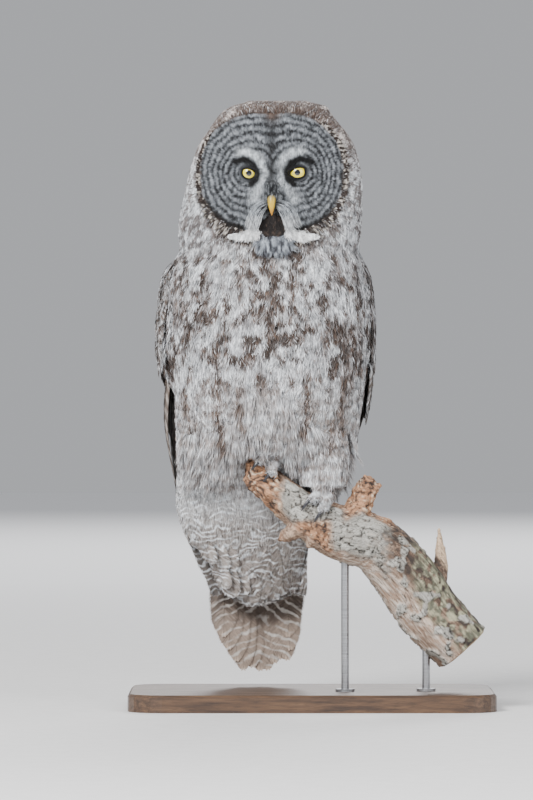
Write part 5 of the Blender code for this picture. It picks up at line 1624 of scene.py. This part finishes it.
def vanes(name, shafts, outs, widths, marks, finish, slot, chance, *nodes, soft, patch,
          outline=SOFT_OUTLINE, lean=0.0, camber=0.01):
    """Feathers along shafts, coloured by marks(from_tip, across, own, place)."""
    number = len(shafts)
    tangents = unit(np.gradient(shafts, axis=1))
    acrosses = unit(np.cross(tangents, outs))
    ups = np.cross(acrosses, tangents)
    lengths = np.linalg.norm(np.diff(shafts, axis=1), axis=-1).sum(1)
    each = int(np.ceil(lengths.max() / BARB_STEP))
    side = np.tile((-1.0, 1.0), each)[None] * np.ones((number, 1))
    start = (np.arange(2 * each) / (2 * each) * 0.985) ** 0.92
    start = np.clip(start + chance.normal(0, 0.3 / each, (number, 2 * each)), 0, 0.99)
    share = np.array(outline, float).T
    slant = widths[:, None] * 0.5 / lengths[:, None] * 1.05
    end = np.minimum(start + slant * (1.0 - 0.35 * start), 0.999)
    half = np.interp(end, *share) * widths[:, None] / 2
    short = 1 - soft * chance.random((number, 2 * each)) ** 2
    where = start[..., None] + (end - start)[..., None] * STRAND_STEPS * short[..., None]
    x = side[..., None] * half[..., None] * STRAND_STEPS**0.88 * short[..., None]
    across, up = unit(along(acrosses, where)), unit(along(ups, where))
    bow = -lean * x - camber * x**2 / np.maximum(half, 3.0)[..., None]
    lift = chance.normal(0, 0.22 + 0.5 * soft, x.shape[:2])[..., None] * STRAND_STEPS
    middle = along(shafts, where) + across * x[..., None] + up * (bow + lift + 0.3)[..., None]
    ahead = unit(np.gradient(middle, axis=2))
    blade = np.cross(up, ahead)
    tilt = 0.22 + chance.normal(0, 0.12 + 0.3 * soft, x.shape[:2])
    tilt = (tilt * side)[..., None, None]
    blade = blade * np.cos(tilt) + up * np.sin(tilt)
    wide = BARB_STEP * (0.78 + 0.5 * soft) * np.array((0.8, 0.85, 0.7))[:, None]
    aside = blade[:, :, :3] * wide
    pairs = np.stack([middle[:, :, :3] - aside, middle[:, :, :3] + aside], 3)
    blades = np.concatenate([pairs.reshape(number, 2 * each, 6, 3), middle[:, :, 3:]], 2)
    own = chance.random((number, 1, 1)) * np.ones(x.shape)
    from_tip = (1 - where) * lengths[:, None, None]
    colours = marks(from_tip, x, own, middle)
    colours = colours * (1 + chance.normal(0, 0.07, x.shape[:2]))[..., None, None]
    # The backing and the shaft fill what the barbs leave open; the backing is darkened as painted shade
    # under the barbs.
    rows = np.linspace(0.0, 0.985, BACKING_ROWS)
    strip = np.broadcast_to(rows, (number, BACKING_ROWS))
    half = np.interp(rows, *share) * widths[:, None] / 2 * 0.86
    x = half[..., None] * np.array((-1.0, -0.5, 0.0, 0.5, 1.0))
    centre = along(shafts, strip)[:, :, None]
    across, up = unit(along(acrosses, strip))[:, :, None], unit(along(ups, strip))[:, :, None]
    bow = -lean * x - camber * x**2 / np.maximum(half, 3.0)[..., None] - 0.15
    backing = centre + across * x[..., None] + up * bow[..., None]
    from_tip = (1 - strip[..., None]) * lengths[:, None, None] + 0 * x
    own = own[:, :BACKING_ROWS, :1]
    # Painted shade: the backing is painted darker than the barbs over it.
    backing_tone = marks(from_tip, x, own, backing) * 0.7
    thick = np.linspace(0.75, 0.2, BACKING_ROWS)[:, None, None]
    ridge = across * np.array((-1.0, 0.0, 1.0))[:, None] + up * np.array((0.0, 1.3, 0.0))[:, None]
    rod = centre + ridge * thick + up * 0.45
    nought = rod[..., 0] * 0
    rod_tone = np.broadcast_to(marks(nought + 500.0, nought, own, rod) * 0.55, rod.shape)
    parts = [
        (blades, colours[:, :, STRAND_ROWS], where[:, :, STRAND_ROWS]),
        (backing, backing_tone, np.repeat(strip, 5, 1)),
        (rod, rod_tone, np.repeat(strip, 3, 1)),
    ]
    points, tones = (np.concatenate([part[k].reshape(number, -1, 3) for part in parts], 1) for k in (0, 1))
    barb_faces = repeated(STRAND_FACES, 2 * each, 7)
    barb_points = 14 * each
    backing_faces = sheet(BACKING_ROWS, 5) + barb_points
    rod_faces = sheet(BACKING_ROWS, 3) + barb_points + 5 * BACKING_ROWS
    faces = repeated(np.concatenate([barb_faces, backing_faces, rod_faces]), number, points.shape[1])
    # Each feather's patch on the unwrapped skin, at its root.
    place_along = np.concatenate([part[2].reshape(number, -1) for part in parts], 1)
    place_across = dot(points - along(shafts, place_along), unit(along(acrosses, place_along)))
    place_across = np.clip(place_across / widths[:, None], -0.5, 0.5)
    spots = unwrap(shafts[:, :1]) + np.stack([place_across * patch[0], (0.5 - place_along) * patch[1]], -1)
    piece = new_piece(name, points.reshape(-1, 3), faces)
    paint(piece, np.clip(tones.reshape(-1, 3), 0, 1))
    lay_out(piece, spots, faces)
    settle(piece, finish, slot, *nodes)


def laid(side, rows, back=None, steps=14):
    """Shafts on the body and the ways out of it, for (root, tip, outs) in turns and heights."""
    s = np.linspace(0, 1, steps)
    shafts, ways = [], []
    for root, tip, outs in rows:
        turn = side * (root[0] + (tip[0] - root[0]) * s)
        height = root[1] + (tip[1] - root[1]) * s
        out = outs[0] + (outs[1] - outs[0]) * s + outs[2] * np.sin(np.pi * s)
        path = body_at(turn, height, out, back)
        shafts.append(path)
        ways.append(unit(body_at(turn, height, out + 1, back) - path))
    return np.array(shafts), np.array(ways)


# Undertail coverts: long, loose, grey-brown feathers crossed by wavy white lines.
# They hang below the belly and hide the tail's root, ending in a soft hem.
# Each tier: heights of roots and tips, count, width, and spread in degrees.
UNDER_TIERS = ((196, 146, 8, 34, 50), (168, 118, 7, 34, 42))


def under_marks(from_tip, across, own, place):
    shade = under_tint(place, 3 * own, 0.0)
    return lerp(shade, WHITE, fade(from_tip, 0.5, 3.5) * 0.5)


chance = np.random.default_rng(61)
for tier, (root, tip, count, width, spread) in enumerate(UNDER_TIERS, 1):
    rows = []
    for k in range(count):
        share = (k + 0.5 * (tier % 2)) / (count - 1 + tier % 2)
        turn = spread * (2 * share - 1) * 0.97 - 8 + chance.uniform(-3, 3)
        end = tip + 5 * chance.uniform(-1, 1) + 38 * (turn / 80) ** 2
        rows.append(((turn, root), (turn * 0.93, end), (-7.0, 0.5 * (k % 2), 0.0)))
    shafts, ways = laid(1, rows)
    vanes(
        f"undertail_{tier}", shafts, ways, np.full(count, float(width)), under_marks, lined, "plumage",
        chance, soft=0.42, patch=(0.02, 0.03),
    )

# More of the same long feathers stand round the back of the vent. They close the gap between
# it and the tail's underside.
def held_back(turn, least):
    """A turn round the body, pushed back where it would come out at the front."""
    return turn if abs(turn) > least else math.copysign(least + abs(turn) / 4, turn)


rows = []
for turn in np.linspace(-176, 144, 9) + 16:
    rows.append(((held_back(turn, 96), 200), (held_back(turn, 110), 126), (-4.0, 4.0, 0.0)))
shafts, ways = laid(1, rows)
vanes(
    "undertail_back", shafts, ways, np.full(len(rows), 32.0), under_marks, lined, "plumage",
    chance, soft=0.42, patch=(0.02, 0.03),
)

# Tail: twelve stiff feathers, folded under each other, so that the outer pair shows from below.
# They are grey-brown, with darker bases, wavy whitish bars, and pale worn edges and tips.
TAIL_ROOT_Z, TAIL_X, TAIL_WIDTH, TAIL_STEP, TAIL_BACK = 196.0, -8.0, 38.0, 2.2, 82.0
# Where the tips end on each side, from the middle feather out: across and up.
TAIL_TIPS = {
    -1: ((-4, 36), (-13, 40), (-24, 37), (-32, 48), (-41, 62), (-47, 77)),
    1: ((5, 37), (13, 45), (21, 50), (28, 49), (31, 61), (28, 77)),
}


def stiff_finish(name):
    """A firm satin finish with a fine web of barbs, and its colour before any bars."""
    made = Finish(name, Roughness=0.6, Sheen_Weight=0.12, Sheen_Roughness=0.5, Specular_IOR_Level=0.3)
    web = made.noise(1100.0, 3.0)
    made.worn(web, 0.7, 0.5, 0.25, 0.0003)
    return made, made.tinted(web, (0.3, 0.84), (0.7, 1.12))


barred, colour = stiff_finish("tail_feather")
bars = wavy_lines(barred, 10.5, 0.5, -60.0, ((28.0, 22.0), (90.0, 8.0), (260.0, 3.0)), 0.62, 0.98)
patches = barred.noise(60.0, 2.0, stretch=(1, 1, 1.6))
broken = barred.ramp(patches, (0.38, 0.05), (0.6, 0.85))
bars = barred.math("MULTIPLY", bars, broken)
barred.set("Base Color", barred.mix(bars, colour, srgb(203, 198, 192)))
stiff, colour = stiff_finish("stiff_feather")
stiff.set("Base Color", colour)


def tail_marks(from_tip, across, own, place):
    """Bars that rise towards the tail's middle, dark above and pale towards the tips."""
    x, z = place[..., 0] - AXIS_X + 5, place[..., 2]
    wave = lumps(place, (12, 40, 6), 311)
    fine = lumps(place, (2.6, 8, 1.6), 312)
    high = ease(z + 4 * wave, 84, 112)
    shade = lerp(srgb(143, 127, 115), srgb(86, 75, 68), high)
    shade = lerp(shade, srgb(186, 168, 154), ease(fine, -0.1, 0.9) * 0.4)
    shade = lerp(shade, srgb(92, 80, 72), np.exp(-((x / 4.0) ** 2)) * 0.55 * ease(z, 60, 90))
    worn = fade(from_tip, 1.0, 8.0)
    return lerp(shade, srgb(214, 192, 174), worn * 0.6)


chance = np.random.default_rng(62)
s = np.linspace(0, 1, 16)
shafts = []
for side in (-1, 1):
    for k, (x2, tip) in enumerate(TAIL_TIPS[side]):
        place = k + 0.5
        y = TAIL_BACK - TAIL_STEP * place - (TAIL_STEP / 2 if side < 0 else 0)
        x0, x1 = TAIL_X + side * place * 5.6, TAIL_X + side * place * 6.9
        x = x0 + (x1 - x0) * np.minimum(1, s / 0.3) + (x2 - x1) * np.maximum(0, s - 0.5) / 0.5
        shafts.append(np.stack([AXIS_X + x, y + 7 * s, TAIL_ROOT_Z + (tip - TAIL_ROOT_Z) * s], -1))
shafts = np.array(shafts)
ways = np.broadcast_to(FRONT, shafts.shape)
vanes(
    "tail_feathers", shafts, ways, np.full(12, TAIL_WIDTH), tail_marks, barred, "flight", chance,
    "tail", outline=STIFF_OUTLINE, soft=0.06, patch=(0.009, 0.05),
)

# Wings: folded along the flanks. Rows of coverts lie over the long feathers, and the
# scapulars cover the back between them. Grey-brown, barred and mottled with white.
# Each row: count, first and last root, first and last tip as turns and heights, width, how far
# roots and tips stand off the body, lean, and if stiff.
WING_ROWS = {
    "primaries": (8, ((93, 404), (135, 396)), ((108, 250), (165, 137)), 25, (2.0, 1.0), 0.12, True),
    "secondaries": (10, ((98, 394), (170, 382)), ((106, 322), (172, 206)), 28, (5.0, 12.0), 0.08, True),
    "greater": (12, ((86, 430), (162, 420)), ((87, 364), (162, 318)), 25, (8.5, 12.8), 0.08, False),
    "median": (11, ((84, 466), (152, 458)), ((85, 404), (153, 384)), 27, (7.5, 13.5), 0.07, False),
    "lesser_low": (11, ((83, 490), (150, 486)), ((83, 438), (150, 428)), 26, (6.0, 12.5), 0.07, False),
    "lesser_high": (11, ((83, 508), (148, 504)), ((83, 466), (149, 462)), 24, (3.0, 11.0), 0.07, False),
    "shoulder": (10, ((84, 519), (146, 517)), ((84, 492), (147, 488)), 24, (-3.0, 8.0), 0.07, False),
    "scapular_low": (4, ((152, 462), (176, 444)), ((152, 372), (173, 322)), 30, (2.0, 13.6), 0.08, False),
    "scapular_middle": (
        4, ((150, 486), (177, 474)), ((151, 408), (175, 368)), 32, (2.0, 13.2), 0.07, False,
    ),
    "scapular_high": (4, ((146, 508), (176, 498)), ((148, 446), (175, 414)), 33, (0.0, 12.0), 0.07, False),
    "scapular_top": (4, ((142, 522), (176, 516)), ((144, 478), (175, 458)), 32, (-5.0, 9.8), 0.06, False),
}
# The back's feathers curve in at their tips, so that they lie closed.
WING_BULGES = {"greater": 1.5, "scapular": 2.5}
PRIMARY_TIPS = (250, 230, 208, 186, 167, 151, 141, 137)
# The front coverts end higher on the owl's right wing than on its left.
DROPS = {
    "right": {"greater": 30.0, "median": 12.0},
    "left": {"greater": -38.0, "median": -14.0, "primaries": 30.0},
}


def flight_marks(from_tip, across, own, place):
    """Broad dark and pale bars, speckled where they meet, with a pale worn edge."""
    wave = lumps(place, (8, 8, 5), 321)
    fine = lumps(place, (1.8, 1.8, 1.4), 322)
    line = (from_tip + 0.5 * np.abs(across) + 2.2 * wave + 2 * own) / 17.0
    light = 0.5 + 0.5 * np.cos(2 * np.pi * line)
    light = ease(light + 0.28 * fine, 0.42, 0.72)
    shade = lerp(srgb(112, 96, 84), srgb(196, 186, 177), light)
    shade = lerp(shade, srgb(118, 102, 90), ease(fine, 0.1, 0.9) * 0.4)
    worn = np.maximum(fade(from_tip, 0.5, 3.5), ease(across, 10.8, 12.5) * 0.8)
    return lerp(shade, srgb(196, 184, 172), worn * 0.7)


def covert_marks(from_tip, across, own, place):
    """Dark shaft lines and wavy cross lines on grey-white, mottled brown."""
    wave = lumps(place, (7, 7, 5), 331)
    fine = lumps(place, (2.0, 2.0, 1.6), 332)
    slow = lumps(place, (16, 16, 20), 333)
    line = (from_tip + 0.55 * np.abs(across) + 4.6 * wave + 6 * own) / 7.6
    light = 0.5 + 0.5 * np.cos(2 * np.pi * line)
    light = ease(light + 0.75 * fine + 0.5 * slow, 0.2, 0.8)
    shade = lerp(srgb(112, 95, 83), srgb(222, 223, 225), light)
    shaft = np.exp(-((across / (1.6 + 0.05 * from_tip)) ** 2)) * ease(from_tip, 1.0, 5.0)
    shade = lerp(shade, srgb(82, 67, 58), shaft * 0.6)
    pale = fade(from_tip, 0.6, 4.0) * 0.5
    return lerp(shade, srgb(214, 216, 218), pale)


STIFF = (flight_marks, stiff, STIFF_OUTLINE, 0.05)
LOOSE = (covert_marks, feather, SOFT_OUTLINE, 0.3)


def front_tint(points, stray):
    """The coat's own colours with browner mottles, as on the coverts."""
    brown = ease(lumps(points, (3, 3, 5), 335), -0.1, 0.3) * 0.8
    return lerp(coat_tint(points, stray), srgb(98, 81, 70), brown)


for owner, (side, shift, out) in WING_SHIFT.items():
    chance = np.random.default_rng(63 + side)
    for row, (count, roots, tips, width, outs, lean, is_stiff) in WING_ROWS.items():
        rows, leans = [], []
        for k in range(count):
            share = k / (count - 1)
            root = [a + (b - a) * share for a, b in zip(*roots)]
            tip = [a + (b - a) * share for a, b in zip(*tips)]
            tip[1] = PRIMARY_TIPS[k] if row == "primaries" else tip[1] + 3 * chance.uniform(-1, 1)
            turned = shift * (1 - share)
            root[0], tip[0] = root[0] + turned, tip[0] + turned
            full = 0.25 + 0.75 * float(ease(root[0], 70 + shift, 90 + shift))
            if row in DROPS[owner]:
                tip[1] += DROPS[owner][row] * (1 - share) ** 2
            bulge = WING_BULGES.get(row.split("_")[0], 0.0)
            if row == "primaries":
                bulge = 10.0 * (1 - share) ** 2
            first_out, last_out = outs[0] * (12 + out) / 12 * full, (outs[1] + out - 0.4) * full
            rows.append((root, tip, (first_out, last_out, bulge)))
            turned_in = (0.8 if is_stiff else 0.4) * float(fade(root[0], 82 + shift, 112 + shift))
            leans.append(-side * (lean - turned_in))
        shafts, ways = laid(side, rows, LONG_BACK)
        nodes = (f"wing_{owner}",) if row == "primaries" else ()
        marks, made_of, outline, soft = STIFF if is_stiff else LOOSE
        vanes(
            f"{row}_{owner}", shafts, ways, np.full(count, float(width)), marks, made_of, "flight",
            chance, *nodes, outline=outline, soft=soft, lean=np.array(leans)[:, None, None],
            camber=0.05, patch=(0.016, 0.024),
        )
    # Small soft feathers hide the coverts' front edge, where the wing meets the breast.
    number = 440
    turn = chance.uniform(79, 96, number) + shift
    height = chance.uniform(396, 514, number)
    long = chance.uniform(15, 22, number)[:, None]
    down = np.linspace(0, 1, 5)
    above = height[:, None] - long * down
    proud = np.interp(above, (380, 430, 470, 495, 515), (14.5, 13.0, 11.0, 8.0, 2.0))
    proud = proud + 0.7 * (out - 0.4)
    proud = proud * (0.25 + 0.75 * ease(turn, 70 + shift, 90 + shift))[:, None] + 0.8
    round_body = side * (turn[:, None] + 2.5 * down)
    paths = body_at(round_body, above, proud, LONG_BACK)
    ways = unit(body_at(round_body, above, proud + 1, LONG_BACK) - paths)
    tufts(
        f"coat_wing_{owner}", paths[:, 0], paths, ways, 9, 0.8, (1.4, 3.4), 3.0, chance,
        tint=front_tint, rise=0.8,
    )
